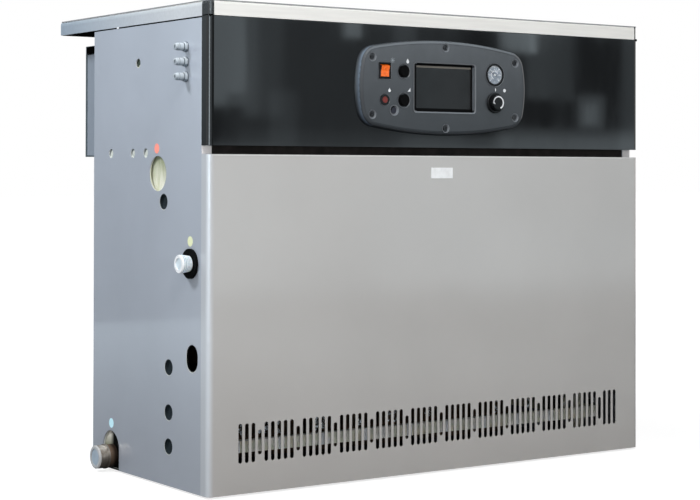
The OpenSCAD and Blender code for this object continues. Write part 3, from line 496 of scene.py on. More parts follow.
# How the finish of each material slot, and of the small trim, is made, and from which values
LOOKS = {
    "dark_steel": (deep_black, 0.5, 0.2, (0.016, 0.016, 0.017)),
    "grey_panel": (side_panel_finish,),
    "door_paint": (door_finish,),
    # Painted highlight on the upper edges of the door and of the burner rail.
    "door_lip": (painted_sheet, (0.60, 0.59, 0.58)),
    "lid_paint": (brushed_sheet, (0.835, 0.79, 0.745)),
    "hood_paint": (painted_sheet, (0.225, 0.258, 0.308), 0.45, 0.5),
    "hood_edge": (deep_black, 0.5, 0.2, (0.06, 0.08, 0.09)),
    # Lighter copy of the side panels' paint for their flanges in the seam: painted light.
    "flange_paint": (painted_sheet, (0.86, 0.83, 0.83), 0.45, 0.1),
    "cut_edge": (painted_sheet, (0.52, 0.54, 0.52), 0.45, 0.3),
    "edge_grey": (moulded_plastic, (0.22, 0.225, 0.235), 0.45),
    "galvanised": (zinc, (0.40, 0.42, 0.45), (0.62, 0.65, 0.69), 0.42),
    "stained_zinc": (stained_zinc,),
    "clip_zinc": (gloss_plastic, (0.86, 0.90, 0.95), 0.35),
    "foil": (foil,),
    "black_paint": (moulded_plastic, (0.007, 0.007, 0.0075), 0.4, 0.0015, 0.00001),
    "black_plastic": (deep_black, 0.3, 0.22),
    "black_gloss": (gloss_black,),
    "black_rubber": (rubber,),
    "cap_black": (deep_black, 0.5, 0.03, (0.003, 0.003, 0.0032)),
    "button_black": (deep_black, 0.4, 0.2, (0.022, 0.023, 0.034)),
    "end_black": (rounded_black,),
    # Flat black without gloss: painted shade in the seam, gaps and recesses, and dark joints.
    "seam_black": (void_black, (0.034, 0.031, 0.030)),
    "gap_black": (void_black, (0.004, 0.004, 0.004)),
    "slate_rubber": (deep_black, 0.5, 0.12, (0.012, 0.018, 0.022)),
    "hole_green": (deep_black, 0.7, 0.1, (0.05, 0.065, 0.05)),
    "pale_rim": (moulded_plastic, (0.62, 0.62, 0.46), 0.5),
    "pale_plug": (gloss_plastic, (0.62, 0.65, 0.60), 0.4),
    # Pale slate for painted highlights and painted light on the bezel.
    "pale_slate": (moulded_plastic, (0.15, 0.165, 0.185), 0.4),
    "bezel_plastic": (bezel_finish,),
    "bezel_rim": (bezel_rim_finish,),
    # Paler copy of the bezel's plastic for the lips of its recesses: painted light.
    "bezel_lip": (moulded_plastic, (0.125, 0.135, 0.15), 0.34),
    # Screws drawn nearly black as painted shade in their recesses.
    "screw_steel": (bare_steel, (0.02, 0.02, 0.022), (0.07, 0.07, 0.072), 0.3),
    "display_glass": (display_glass,),
    "clear_glass": (clear_glass,),
    "orange_plastic": (rocker_plastic,),
    "orange_dark": (gloss_plastic, (0.60, 0.085, 0.006), 0.3),
    "red_plastic": (gloss_plastic, (0.15, 0.010, 0.004), 0.45),
    "white_plastic": (gloss_plastic, (0.84, 0.86, 0.88), 0.22),
    "dial_face": (printed, (0.20, 0.235, 0.28)),
    "white_print": (printed, (0.72, 0.74, 0.77)),
    "grey_print": (printed, (0.24, 0.27, 0.30)),
    "strip_print": (printed, (0.16, 0.145, 0.125)),
    "red_dot": (printed, (0.95, 0.30, 0.23)),
    "yellow_dot": (printed, (0.77, 0.80, 0.50)),
    "blue_dot": (printed, (0.55, 0.85, 0.95)),
    "cast_iron": (cast_iron,),
    "boss_paint": (boss_paint,),
    "mineral_wool": (mineral_wool,),
    "burner_steel": (bare_steel, (0.18, 0.16, 0.15), (0.42, 0.40, 0.38), 0.4),
    "brown_paint": (moulded_plastic, (0.2, 0.12, 0.07), 0.45),
    "pipe_brown": (pipe_brown,),
    "pipe_steel": (pipe_steel,),
    "cap_plastic": (cap_plastic,),
    "plug_groove": (moulded_plastic, (0.34, 0.42, 0.48), 0.5),
    "plug_face": (gloss_plastic, (0.66, 0.76, 0.82), 0.35),
    "end_cap": (gloss_plastic, (0.38, 0.375, 0.37), 0.5),
    "end_disc": (gloss_plastic, (0.33, 0.40, 0.47), 0.5),
    "end_rim": (gloss_plastic, (0.42, 0.43, 0.44), 0.5),
    "gland_plastic": (gland_plastic,),
    "gland_shadow": (moulded_plastic, (0.10, 0.12, 0.14), 0.5),
}
MATS = {name: make(name, *values) for name, (make, *values) in LOOKS.items()}

# CAD nodes whose look differs from that of their material slot
# The front crossbar is given flat black as painted shade in the seam between fascia and door.
OWN_LOOKS = {"burner_rail": "stained_zinc", "lid": "lid_paint", "draught_hood": "hood_paint",
             "limit_cap_upper": "cap_black", "limit_cap_lower": "cap_black", "reset_button": "button_black",
             "lid_end_left": "end_black", "lid_end_right": "end_black", "return_cap": "end_cap",
             "front_crossbar": "seam_black"}


def dress_nodes():
    """Give every CAD node the finish of its material slot, or its own."""
    for part in frame["record"]["subparts"]:
        look = MATS[OWN_LOOKS.get(part["node"], part["material_slot"])]
        for holder in frame["nodes"][part["node"]].material_slots:
            holder.material = look


# ---------------------------------------------------------------- mesh tools

def add_object(name, data):
    thing = bpy.data.objects.new(name, data)
    bpy.context.scene.collection.objects.link(thing)
    return thing


def add_piece(name, bm, look, body="boiler", sharp=35):
    """Make a mesh object, smooth up to the sharp angle, that rides on a body."""
    bmesh.ops.recalc_face_normals(bm, faces=bm.faces)
    mesh = bpy.data.meshes.new(name)
    bm.to_mesh(mesh)
    bm.free()
    mesh.shade_smooth()
    mesh.set_sharp_from_angle(angle=math.radians(sharp))
    mesh.materials.append(MATS[look])
    piece = add_object(name, mesh)
    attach(piece, body)


def add_plate(name, look, outline, depth, place, start=0.0):
    """Piece that is a single flat plate."""
    bm = bmesh.new()
    extrude_outline(bm, outline, depth, place, start)
    add_piece(name, bm, look)


def add_turned(name, look, profile, place, steps):
    """Piece that is a single turned form."""
    bm = bmesh.new()
    revolve(bm, profile, place, steps)
    add_piece(name, bm, look)


def plane_at(origin, right, up):
    """Matrix from mm on a face to the scene, whose x, y and z run right, up and out of the face."""
    right, up = Vector(right), Vector(up)
    turn = Matrix((right, up, right.cross(up))).transposed().to_4x4()
    return Matrix.Scale(MM, 4) @ Matrix.Translation(origin) @ turn


def front_plane(x, y, z):
    """Plane that looks forward, seen from the front."""
    return plane_at((x, y, z), (1, 0, 0), (0, 0, 1))


def level_plane(x, y, z):
    """Plane that looks up."""
    return plane_at((x, y, z), (1, 0, 0), (0, 1, 0))


def side_face(side, x, y, z):
    """Plane that looks left (-1) or right (1)."""
    return plane_at((x, y, z), (0, side, 0), (0, 0, 1))


def side_plane(side, behind, height):
    """Plane on a side panel (-1 left, 1 right), from mm behind the front and above the floor."""
    return side_face(side, LEFT if side < 0 else RIGHT, FRONT + behind, height)


def face_plane(node, right=0.0, up=0.0):
    """Plane on the bezel's face, from the middle of a control."""
    centre = middle(node)
    return front_plane(centre.x + right, BEZEL_FACE, centre.z + up)


def add_ring(bm, outline, height, place):
    return [bm.verts.new(place @ Vector((u, v, height))) for u, v in outline]


def join_rings(bm, rings):
    """Walls between rings with as many points each."""
    for low, high in zip(rings, rings[1:]):
        for i in range(len(low)):
            j = (i + 1) % len(low)
            bm.faces.new((low[i], low[j], high[j], high[i]))


def extrude_outline(bm, outline, depth, place, start=0.0):
    """Flat plate of a closed outline, standing out of the plane from start by depth."""
    low, high = add_ring(bm, outline, start, place), add_ring(bm, outline, start + depth, place)
    bm.faces.new(high)
    bm.faces.new(low[::-1])
    join_rings(bm, (low, high))


def add_ramp(bm, first, second, first_height, second_height, place):
    """Sloping band between two outlines with as many points each."""
    join_rings(bm, (add_ring(bm, first, first_height, place), add_ring(bm, second, second_height, place)))


def revolve(bm, profile, place, steps):
    """Turn a profile of (radius, height) round the plane's outward axis."""
    rings = [add_ring(bm, circle(radius, steps) if radius else [(0, 0)], height, place)
             for radius, height in profile]
    for low, high in zip(rings, rings[1:]):
        for i in range(steps):
            j = (i + 1) % steps
            corners = low[i % len(low)], low[j % len(low)], high[j % len(high)], high[i % len(high)]
            bm.faces.new(list(dict.fromkeys(corners)))


def polar(radius, angle):
    """Point at a radius and an angle in degrees."""
    return radius * math.cos(math.radians(angle)), radius * math.sin(math.radians(angle))


def arc_points(radius, start, end, steps, centre=(0, 0)):
    """Points on an arc, angles in degrees."""
    points = [polar(radius, start + (end - start) * i / steps) for i in range(steps + 1)]
    return [(centre[0] + u, centre[1] + v) for u, v in points]


def circle(radius, steps=48):
    return arc_points(radius, 0, 360, steps)[:-1]


def ring_sector(inner, outer, start, end, steps=48):
    """Outline of a part of a ring."""
    return arc_points(outer, start, end, steps) + arc_points(inner, end, start, steps)


def crescent(radius, width, facing):
    """Outline of a crescent along a circle, widest in the direction it faces (degrees)."""
    start, sweep, steps = facing - 85, 170, 24
    inner = [polar(radius - width * math.sin(math.pi * i / steps), start + sweep * i / steps)
             for i in range(steps - 1, 0, -1)]
    return arc_points(radius, start, start + sweep, steps) + inner


def rectangle(left, right, bottom, top):
    return [(left, bottom), (right, bottom), (right, top), (left, top)]


def rounded_box(width, height, radius, steps=6):
    """Outline of a rectangle with rounded corners."""
    points = []
    for turn, (sx, sy) in enumerate(((1, 1), (-1, 1), (-1, -1), (1, -1))):
        centre = (sx * (width / 2 - radius), sy * (height / 2 - radius))
        points += arc_points(radius, 90 * turn, 90 * turn + 90, steps, centre)
    return points


# ---------------------------------------------------------------- trim of the control bezel

def flame_outline(size):
    """Plain teardrop."""
    bulb = arc_points(size * 0.36, -200, 20, 14, (0, -size * 0.14))
    return bulb + [(size * 0.12, size * 0.3), (0, size * 0.5)]


def add_lip(bm, place, mouth, outer, rise):
    """Raised lip round a recess: it slopes up from the mouth and drops at its outer edge."""
    add_ramp(bm, mouth, outer, 0.05, rise, place)
    add_ramp(bm, outer, outer, rise, 0, place)


def bezel_outline(inset, stretch):
    """The bezel's bowed outline, drawn in by the inset and stretched sideways."""
    half_w, half_h = (BEZEL_HIGH.x - BEZEL_LOW.x) / 2, (BEZEL_HIGH.z - BEZEL_LOW.z) / 2
    bow_centre, side_centre = half_h - BEZEL_BOW, half_w - BEZEL_SIDE
    top, side = BEZEL_BOW - BEZEL_CORNER, BEZEL_SIDE - BEZEL_CORNER
    x = y = 0.0
    for _ in range(20):
        y = bow_centre + math.sqrt(top ** 2 - x ** 2)
        x = side_centre + math.sqrt(side ** 2 - y ** 2)
    lean, rise = math.degrees(math.atan2(x, y - bow_centre)), math.degrees(math.atan2(y, x - side_centre))
    right = arc_points(BEZEL_SIDE - inset, 0, rise, 10, (side_centre, 0))[:-1]
    corner = arc_points(BEZEL_CORNER - inset, rise, 90 - lean, 14, (x, y))
    above = arc_points(BEZEL_BOW - inset, 90 - lean, 90, 14, (0, bow_centre))[1:-1]
    quarter = right + corner + above
    points = quarter + [(0, half_h - inset)] + [(-u, v) for u, v in quarter[:0:-1]]
    points += [(-half_w + inset, 0)] + [(-u, -v) for u, v in quarter[1:]] + [(0, -half_h + inset)]
    points += [(u, -v) for u, v in quarter[:0:-1]]
    wide = 1 + stretch / half_w
    return [(u * wide, v) for u, v in points]


def bezel_edge():
    """Full round edge of the bezel, from its face down to a slightly flared foot."""
    place = front_plane(BEZEL_CENTRE.x, FRONT, BEZEL_MID)
    crown = FRONT - BEZEL_FACE + 0.15
    rows = []
    for i in range(9):
        across, down = polar(BEZEL_EDGE, 90 * i / 8)
        rows.append((BEZEL_EDGE - down - 0.3, crown - BEZEL_EDGE + across, 0))
    rows += [(-0.6, 2.5, 1.5), (-0.9, 0.1, 3.2)]
    bm = bmesh.new()
    join_rings(bm, [add_ring(bm, bezel_outline(inset, flare), rise, place) for inset, rise, flare in rows])
    add_piece("bezel_edge", bm, "bezel_rim", sharp=60)


def recess_lips():
    """Chamfered mouths of the bezel's recesses, which catch the light at the lower right, drawn in a paler
    copy of the bezel's plastic as painted light.
    """
    bm = bmesh.new()
    place = face_plane("reset_button")
    add_lip(bm, place, circle(8, 64), circle(10.2, 64), 0.9)
    add_ramp(bm, circle(8, 64), circle(6.5, 64), 0.05, -2, place)
    low, high, centre = box("bezel_screws")
    spots = [(across * SCREW_ACROSS, BEZEL_MID + up * SCREW_UP) for across in SIDES for up in SIDES]
    spots += [(0, low.z + SCREW_INSET), (0, high.z - SCREW_INSET)]
    for across, height in spots:
        place = front_plane(centre.x + across, BEZEL_FACE, height)
        add_lip(bm, place, circle(7), circle(8.4), 0.6)
        add_ramp(bm, circle(7), circle(5.6), 0.05, -2.4, place)
    rounds = (("lamp_ring", 0, 1.5), ("gauge_ring", 0, 2),
              ("limit_cap_upper", 2, 1.5), ("limit_cap_lower", 2, 1.5))
    for node, gap, width in rounds:
        radius = extent(node).x / 2 + gap
        add_lip(bm, face_plane(node), circle(radius, 64), circle(radius + width, 64), 0.9)
    window, switch = extent("display_window"), extent("switch_frame")
    width, height = window.x + GASKET_EDGE, window.z
    mouth, outer = rounded_box(width, height, 5), rounded_box(width + 5, height + 5, 7)
    add_lip(bm, face_plane("display_window", -GASKET_EDGE / 2), mouth, outer, 1.1)
    mouth, outer = rounded_box(switch.x, switch.z, 1.5), rounded_box(switch.x + 3.5, switch.z + 3.5, 3)
    add_lip(bm, face_plane("switch_frame"), mouth, outer, 0.8)
    add_piece("recess_lips", bm, "bezel_lip")


def recess_seals_and_shade():
    """Black seals round the sunken caps and the button, a black crescent of painted shade at the button's
    upper left, and a painted highlight on its lip at the lower right.
    """
    bm = bmesh.new()
    seals = ("limit_cap_upper", 10.9, 13), ("limit_cap_lower", 10.9, 13), ("reset_button", 5.9, 7)
    for node, inner, outer in seals:
        add_ramp(bm, circle(outer, 64), circle(inner, 64), -2.2, -2.4, face_plane(node))
    button = face_plane("reset_button")
    # Painted shade at the button's upper left.
    extrude_outline(bm, crescent(8.1, 2.4, 135), 0.1, button)
    add_piece("recess_seals_and_shade", bm, "cap_black")
    # Painted highlight at the button's lower right.
    add_plate("button_gleam", "pale_slate", crescent(9.6, 2.6, -45), 0.95, button)


def bezel_marks():
    """Printed signs beside the controls: plain drops, a wedge, a dot, a tick and a sun."""
    marks = (("limit_cap_upper", 9, 19, flame_outline(9)),
             ("lamp_ring", 11, 18, flame_outline(8)),
             ("limit_cap_lower", 12, 19, [(-3.2, -3), (3.2, -3), (3.2, 4)]),
             ("temperature_knob", 24, 24, circle(3.4, 24)),
             ("temperature_knob", 2, 25, rounded_box(2, 6, 0.9, 3)))
    ink = 0.12
    bm = bmesh.new()
    for node, right, up, outline in marks:
        extrude_outline(bm, outline, ink, face_plane(node, right, up))
    add_piece("bezel_marks", bm, "white_print")
    sun = face_plane("switch_frame", 18, 19)
    bm = bmesh.new()
    extrude_outline(bm, circle(2.1, 20), ink, sun)
    for i in range(8):
        ray = sun @ Matrix.Rotation(math.radians(45 * i), 4, "Z") @ Matrix.Translation((3.9, 0, 0))
        extrude_outline(bm, rounded_box(2.2, 1, 0.4, 2), ink, ray)
    add_piece("sun_mark", bm, "grey_print")


def knob_arc():
    """White line round three quarters of the knob's face that swells towards its end."""
    low, _, centre = box("temperature_knob")
    place = front_plane(centre.x, low.y, centre.z)
    radius, start, end, steps = 12.8, 186, -66, 48
    inner = [polar(radius - 1.7 - 1.6 * i / steps, start + (end - start) * i / steps)
             for i in range(steps, -1, -1)]
    heel = [(-12.7, -1.4), (-7.6, -2.6), (-10.8, 2.2)]
    bm = bmesh.new()
    for outline in (arc_points(radius, start, end, steps) + inner, heel):
        extrude_outline(bm, outline, 0.04, place)
    add_piece("knob_arc", bm, "white_print", "knob")


def knob_flutes():
    """Fine grip flutes round the knob."""
    low, _, centre = box("temperature_knob")
    count, radius = 30, 14.9
    bm = bmesh.new()
    for i in range(count):
        across, up = polar(radius, 360 * i / count)
        extrude_outline(bm, circle(0.45, 8), 6.5, front_plane(centre.x + across, low.y, centre.z + up), -7.8)
    add_piece("knob_flutes", bm, "black_plastic", "knob")


def gauge_face():
    """Scale, figures, pointer and dome of the round gauge."""
    low, _, centre = box("gauge_dial")
    place = front_plane(centre.x, low.y, centre.z)
    radius = extent("gauge_dial").x / 2
    start, end, steps, print_height = 225, -45, 24, 0.08
    bm = bmesh.new()
    for i in range(steps + 1):
        inner, half = (0.74, 0.03) if i % 4 == 0 else (0.82, 0.016)
        outline = rectangle(radius * inner, radius * 0.92, -radius * half, radius * half)
        turn = place @ Matrix.Rotation(math.radians(start + (end - start) * i / steps), 4, "Z")
        extrude_outline(bm, outline, print_height, turn)
    extrude_outline(bm, ring_sector(radius * 0.93, radius * 0.96, end, start), print_height, place)
    extrude_outline(bm, ring_sector(radius * 0.40, radius * 0.46, 20, 250), print_height, place)
    add_piece("gauge_scale", bm, "white_print")

    for i, figure in enumerate(("0", "20", "40", "60", "80", "100", "120")):
        spot = polar(radius * 0.6, start + (end - start) * i / 6)
        add_figure(f"gauge_figure_{figure}", figure, 3.2, place @ Matrix.Translation((*spot, 0)))

    needle = place @ Matrix.Rotation(math.radians(150), 4, "Z")
    tail, tip = -radius * 0.25, radius * 0.8
    outline = [(tail, -0.5), (tip, -0.12), (tip, 0.12), (tail, 0.5)]
    add_plate("gauge_needle", "black_plastic", outline, 0.3, needle, 0.8)
    hub = [(0, 1.8), (1.2, 1.7), (1.9, 1.3), (2.1, 0)]
    add_turned("gauge_hub", "white_plastic", hub, place, 24)
    turns = [math.radians(90 * i / 8) for i in range(9)]
    dome = [(radius * 0.99 * math.sin(turn), 1.6 + 0.9 * math.cos(turn)) for turn in turns]
    add_turned("gauge_glass", "clear_glass", dome, place, 48)


def add_figure(name, text, height, place):
    """Raised figure, turned into a mesh."""
    curve = bpy.data.curves.new(name, "FONT")
    curve.body = text
    curve.size = height * MM
    curve.extrude = 0.04 * MM
    curve.align_x, curve.align_y = "CENTER", "CENTER"
    source = add_object(name, curve)
    bpy.context.view_layer.update()
    mesh = bpy.data.meshes.new_from_object(source.evaluated_get(bpy.context.evaluated_depsgraph_get()))
    bpy.data.objects.remove(source)
    mesh.transform(place @ Matrix.Scale(1 / MM, 4))
    mesh.materials.clear()
    mesh.materials.append(MATS["white_print"])
    piece = add_object(name, mesh)
    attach(piece, "boiler")


def display_details():
    """Black gasket round the display and beside its left edge, a black plate of painted shade on the top
    wall of its opening, a pale plate of painted light on its right wall, and a pale strip under the top of
    the window.
    """
    low, high, centre = box("display_window")
    width, height = high.x - low.x, high.z - low.z
    place = front_plane(centre.x, low.y, centre.z)
    top, bottom, side = 4, 6.5, 3.5
    depth = low.y - BEZEL_FACE
    inside = BEZEL_FACE + depth / 2
    bm = bmesh.new()
    # Painted shade: black plate on the top wall of the opening.
    ceiling = level_plane(centre.x, inside, high.z - 0.4)
    extrude_outline(bm, rounded_box(width - 8, depth - 1, 0.2, 2), 0.2, ceiling)
    edge = front_plane(low.x - GASKET_EDGE / 2 + 0.2, BEZEL_FACE, centre.z)
    extrude_outline(bm, rounded_box(GASKET_EDGE, height - 3, 1.5), 0.08, edge)
    for sign, band in ((-1, bottom), (1, top)):
        bar = place @ Matrix.Translation((0, sign * (height - band) / 2, 0))
        extrude_outline(bm, rounded_box(width, band, 1.5), 1.2, bar)
        post = place @ Matrix.Translation((sign * (width - side) / 2, (bottom - top) / 2, 0))
        extrude_outline(bm, rounded_box(side, height - top - bottom, 1), 1.1, post)
    add_piece("display_gasket_and_shade", bm, "cap_black")
    wall, strip = rounded_box(depth - 0.6, height - 9, 0.2, 2), rounded_box(width - 2 * side, 3.6, 1)
    right = side_face(-1, high.x - 0.4, inside, centre.z)
    above = place @ Matrix.Translation((0, height / 2 - top - 2, 0))
    # Painted light: pale plate on the right wall of the opening.
    add_plate("display_wall_highlight", "pale_slate", wall, 0.2, right)
    add_plate("display_edge", "strip_print", strip, 0.5, above)


def rocker_marks():
    """Raised bar and ring on the rocker's halves."""
    centre = middle("switch_rocker")
    rocker = front_plane(centre.x, BEZEL_FACE + 4, centre.z) @ Matrix.Rotation(math.radians(10), 4, "X")
    bm = bmesh.new()
    for up, outline in ((5, rounded_box(1, 4, 0.4, 3)), (-5, ring_sector(1.3, 2, 0, 359.5, 24))):
        extrude_outline(bm, outline, 0.3, rocker @ Matrix.Translation((0, up, 6.1)))
    add_piece("rocker_marks", bm, "orange_dark", "rocker")


# ---------------------------------------------------------------- trim of the sides

def side_dots():
    """Coloured paper dots that mark the ports: behind the front and above the floor."""
    for look, behind, height in (("red_dot", 185, 600), ("yellow_dot", 63, 438), ("blue_dot", 359, 89)):
        add_plate(look, look, circle(9), 0.12, side_plane(-1, behind, height))


def oblong(width):
    """Outline of the oblong hole, or of a seal in it."""
    return rounded_box(width, width + 9, width / 2, 10)


def add_crescent(bm, side, hole, outline_of, depth, start=0.0):
    """Crescent at a hole of a side panel, mirrored on the right panel.

    outline_of: radius, width, and the direction that it faces on the left panel
    """
    radius, width, facing = outline_of
    outline = crescent(radius, width, facing if side < 0 else 180 - facing)
    extrude_outline(bm, outline, depth, side_plane(side, *hole), start)


def hole_rims():
    """Pale cut edges of the holes in the side panels, bent inwards. At the oblong hole the edge is widest at
    the lower rear, and at the service holes only a crescent there shows: painted highlight.
    """
    bm = bmesh.new()
    for side in SIDES:
        for hole in SMALL_HOLES:
            add_ramp(bm, circle(8.4), circle(8.1), -0.2, -1.6, side_plane(side, *hole))
        for hole in SERVICE_HOLES:
            # Painted highlight at the lower rear of the service holes.
            add_crescent(bm, side, hole, (15.8, 2.4, 225), 0.1)
        # Painted highlight: the oblong's edge is widest at the lower rear.
        shifted = [(u + side * 1.3, v - 1.3) for u, v in oblong(39.6)]
        add_ramp(bm, shifted, oblong(37.8), 0.06, 0.12, side_plane(side, *OBLONG_HOLE))
    add_piece("hole_rims", bm, "cut_edge")


def hole_plugs():
    """Blanking plugs and seals pressed into the spare holes of both side panels. The small plugs are drawn
    pale as painted light, with a crescent of painted shade at their upper rear.
    """
    service = [(13.9, 0.02), (13.9, 0.3), (12.6, 0.35), (12.3, -3.4), (8, -4.8), (7.6, -4.2), (0, -4)]
    small = [(8, -1.8), (7, -2.4), (5.2, -2.6), (4.8, -1.9), (0, -1.8)]
    inner, outer = oblong(35.4), oblong(38)
    dark, pale, shades, seals = (bmesh.new() for _ in range(4))
    for side in SIDES:
        for hole in SERVICE_HOLES:
            revolve(dark, service, side_plane(side, *hole), 40)
        for hole in SMALL_HOLES[:3]:
            # Pale plugs as painted light, each with a crescent of painted shade at its upper rear.
            revolve(pale, small, side_plane(side, *hole), 40)
            add_crescent(shades, side, hole, (8.2, 2.4, 140), 0.3, -1.7)
        place = side_plane(side, *OBLONG_HOLE)
        add_ramp(seals, outer, outer, 0.02, 0.3, place)
        add_ramp(seals, outer, inner, 0.3, 0.35, place)
        add_ramp(seals, inner, inner, 0.35, -2.5, place)
    extrude_outline(dark, oblong(34.8), 1, side_plane(1, *OBLONG_HOLE), -4)
    add_piece("oblong_seals", seals, "cap_black")
    add_piece("plug_shades", shades, "gland_shadow")
    add_piece("service_plugs", dark, "slate_rubber")
    add_piece("small_plugs", pale, "pale_plug")


def hole_backs():
    """What shows in the holes that stay open: wool in painted shade behind the upper holes, with a painted
    highlight at their lower front, and in the flow hole a painted highlight to the rear and painted shade to
    the front.
    """
    backs, rims = bmesh.new(), bmesh.new()
    for side in SIDES:
        # Wool in painted shade behind the upper holes, with a painted highlight at their lower front.
        extrude_outline(backs, circle(9), 0.5, side_plane(side, *SMALL_HOLES[3]), -3.6)
        add_crescent(rims, side, SMALL_HOLES[3], (8.3, 2.2, -50), 0.3, -1.3)
    add_piece("upper_hole_backs", backs, "hole_green")
    add_piece("upper_hole_highlights", rims, "pale_rim")
    flow = middle("flow_pipe")
    place = side_face(-1, LEFT, flow.y, flow.z)
    # Painted highlight to the rear of the flow hole, and painted shade to its front.
    add_plate("flow_hole_highlight", "pale_rim", crescent(31.3, 3, 195), 0.3, place, -1.6)
    add_plate("flow_hole_shade", "hole_green", crescent(31.3, 2.6, 0), 0.3, place, -1.7)


def notch_details():
    """Lining of the return pipe's notch, the pipe's brown paint, its cap, and a cover on the right."""
    water = middle("return_cap")
    place = side_face(-1, LEFT, water.y, water.z)
    half, foot = 31, 1 - water.z
    crown = arc_points(half, 0, 180, 24, (0, 43 - water.z))
    arch = [(-half, -21), (half, -21)] + crown
    add_plate("notch_back", "boss_paint", arch, 0.8, place, -4.6)
    bm = bmesh.new()
    add_ramp(bm, arch, arch, -0.6, -4, place)
    add_piece("notch_lining", bm, "cut_edge")
    behind_collar = LEFT - box("return_pipe")[0].x - 18.4
    add_turned("pipe_paint", "pipe_brown", [(21.6, behind_collar), (21.6, -22)], place, 64)
    cap = side_face(-1, box("return_cap")[0].x, water.y, water.z)
    add_plate("cap_rim", "end_rim", ring_sector(15.6, 19.8, 0, 359.9, 64), 0.04, cap)
    add_plate("cap_disc", "end_disc", circle(15.3), 0.1, cap, -1.35)
    cover = [(-half, foot), (half, foot)] + crown
    add_plate("notch_cover", "grey_panel", cover, 1, side_face(1, RIGHT, water.y, water.z), -4)


def plug_and_glands():
    """Grooves of the gas plug as bands of painted shade, its ribs and face, and the dark joints of the cable
    glands, with painted shade round their base and in their mouths.
    """
    plug = middle("gas_cap")
    place = side_face(-1, box("gas_cap")[0].x, plug.y, plug.z)
    bm = bmesh.new()
    # Bands of painted shade for the plug's grooves.
    for depth, radius in ((3.9, 16.1), (7.5, 15.3), (11.1, 14.6), (14.5, 14), (17.8, 13.4)):
        revolve(bm, [(radius, -depth - 0.55), (radius, -depth + 0.55)], place, 48)
    add_piece("plug_grooves", bm, "plug_groove")
    rib = (-2.5, 1.15), (-0.4, 1.15), (0, 0.7), (0, -0.7), (-0.4, -1.15), (-2.5, -1.15)
    bm = bmesh.new()
    for depth, radius in ((5.6, 16.2), (9.4, 15.6), (12.8, 15), (16.2, 14.4), (19.4, 13.9)):
        revolve(bm, [(radius + out, up - depth) for out, up in rib], place, 48)
    add_piece("plug_ribs", bm, "cap_plastic")
    add_plate("plug_face", "plug_face", circle(10.6), 0.2, place, -1.6)
    bm = bmesh.new()
    for node in ("cable_gland_upper", "cable_gland_middle", "cable_gland_lower"):
        low, _, gland = box(node)
        # Dark joints of the glands; the ring at the base is a dark washer widened into painted shade, and
        # the disc in the mouth is painted shade.
        for start, end, radius in ((0.1, 1.4, 9.4), (6.05, 7.8, 7.1), (15.6, 16.4, 6.95)):
            revolve(bm, [(radius, start), (radius, end)], side_face(-1, LEFT, gland.y, gland.z), 40)
        extrude_outline(bm, circle(3.3), 0.2, side_face(-1, low.x, gland.y, gland.z), -1)
    add_piece("gland_joints_and_shade", bm, "gland_shadow")


def hood_details():
    """Black plates of painted shade for a recess at the top of the hood's sides, and dark strips of painted
    shade along the folds at its rear and lower edges.
    """
    low, high, _ = box("draught_hood")
    start = box("rear_panel")[1].y + 3
    # Painted shade: black at the top of the hood's sides, dark along its rear and lower folds.
    recess = (start, high.y - 4, high.z - 15, high.z - 1),
    folds = (high.y - 8, high.y - 0.2, low.z, high.z - 16), (start, high.y - 9, low.z, low.z + 3)
    for name, look, areas in (("hood_recess_shade", "gap_black", recess), ("hood_fold_shade", "hood_edge", folds)):
        bm = bmesh.new()
        for side in SIDES:
            face = side_face(side, low.x if side < 0 else high.x, 0, 0)
            for front, rear, bottom, top in areas:
                extrude_outline(bm, rectangle(side * front, side * rear, bottom, top), 0.15, face)
        add_piece(name, bm, look)


# ---------------------------------------------------------------- trim of the lid and the front

def lid_trim():
    """Fine grey bead along the lid's top edge, its dark joints, black sheets of painted shade under its
    overhang and in the gaps along its sides, and a bright clip.
    """
    low, high, centre = box("lid")
    width, depth = high.x - low.x, high.y - low.y
    outer, inner = rounded_box(width + 0.3, depth + 0.3, 6), rounded_box(width - 3, depth - 3, 5)
    place = level_plane(centre.x, centre.y, high.z - 2)
    bm = bmesh.new()
    add_ramp(bm, outer, outer, 0, 1.8, place)
    add_ramp(bm, outer, inner, 1.8, 1.9, place)
    add_piece("lid_bead", bm, "edge_grey")

    bm = bmesh.new()
    for node in ("lid_end_left", "lid_end_right"):
        end_low, _, end = box(node)
        joint = rounded_box(extent(node).x + 0.2, extent(node).y + 0.2, 2)
        extrude_outline(bm, joint, 2, level_plane(end.x, end.y, end_low.z - 0.6))
    add_piece("lid_end_joints", bm, "gap_black")

    # Painted shade: a black sheet under the rear overhang, and black strips in the gaps between the lid and
    # the side panels.
    rear, panel_top = box("rear_panel")[1].y, box("left_side_panel")[1].z
    bm = bmesh.new()
    under = level_plane(centre.x, (high.y + rear) / 2, low.z - 0.5)
    extrude_outline(bm, rounded_box(width - 3, high.y - rear - 4, 2), 0.4, under)
    length, height = rear - FRONT - 4, low.z - panel_top
    strip = rounded_box(length, height - 0.2, 0.5, 3)
    for side in SIDES:
        face = side_face(side, side * (RIGHT - 2.8), FRONT + length / 2, panel_top + height / 2)
        extrude_outline(bm, strip, 0.3, face)
    add_piece("lid_painted_shade", bm, "gap_black")

    clip = side_plane(-1, 338, low.z - 1.4)
    add_plate("lid_clip", "white_plastic", rounded_box(7, 3.4, 1, 3), 0.8, clip)


def seam_flanges():
    """Ends of the side panels' front flanges between the fascia and the door, drawn as pale plates in a
    lighter copy of the panels' paint: painted light.
    """
    low, high, _ = box("left_side_panel")
    bottom, top = box("front_door")[1].z + 0.5, box("control_fascia")[0].z - 0.3
    bm = bmesh.new()
    for side in SIDES:
        flange = rectangle(-side * (high.x - 0.3), -side * (low.x + 0.3), bottom, top)
        extrude_outline(bm, flange, 0.8, front_plane(0, PANEL_FRONT - 0.15, 0))
    add_piece("seam_flanges", bm, "flange_paint")


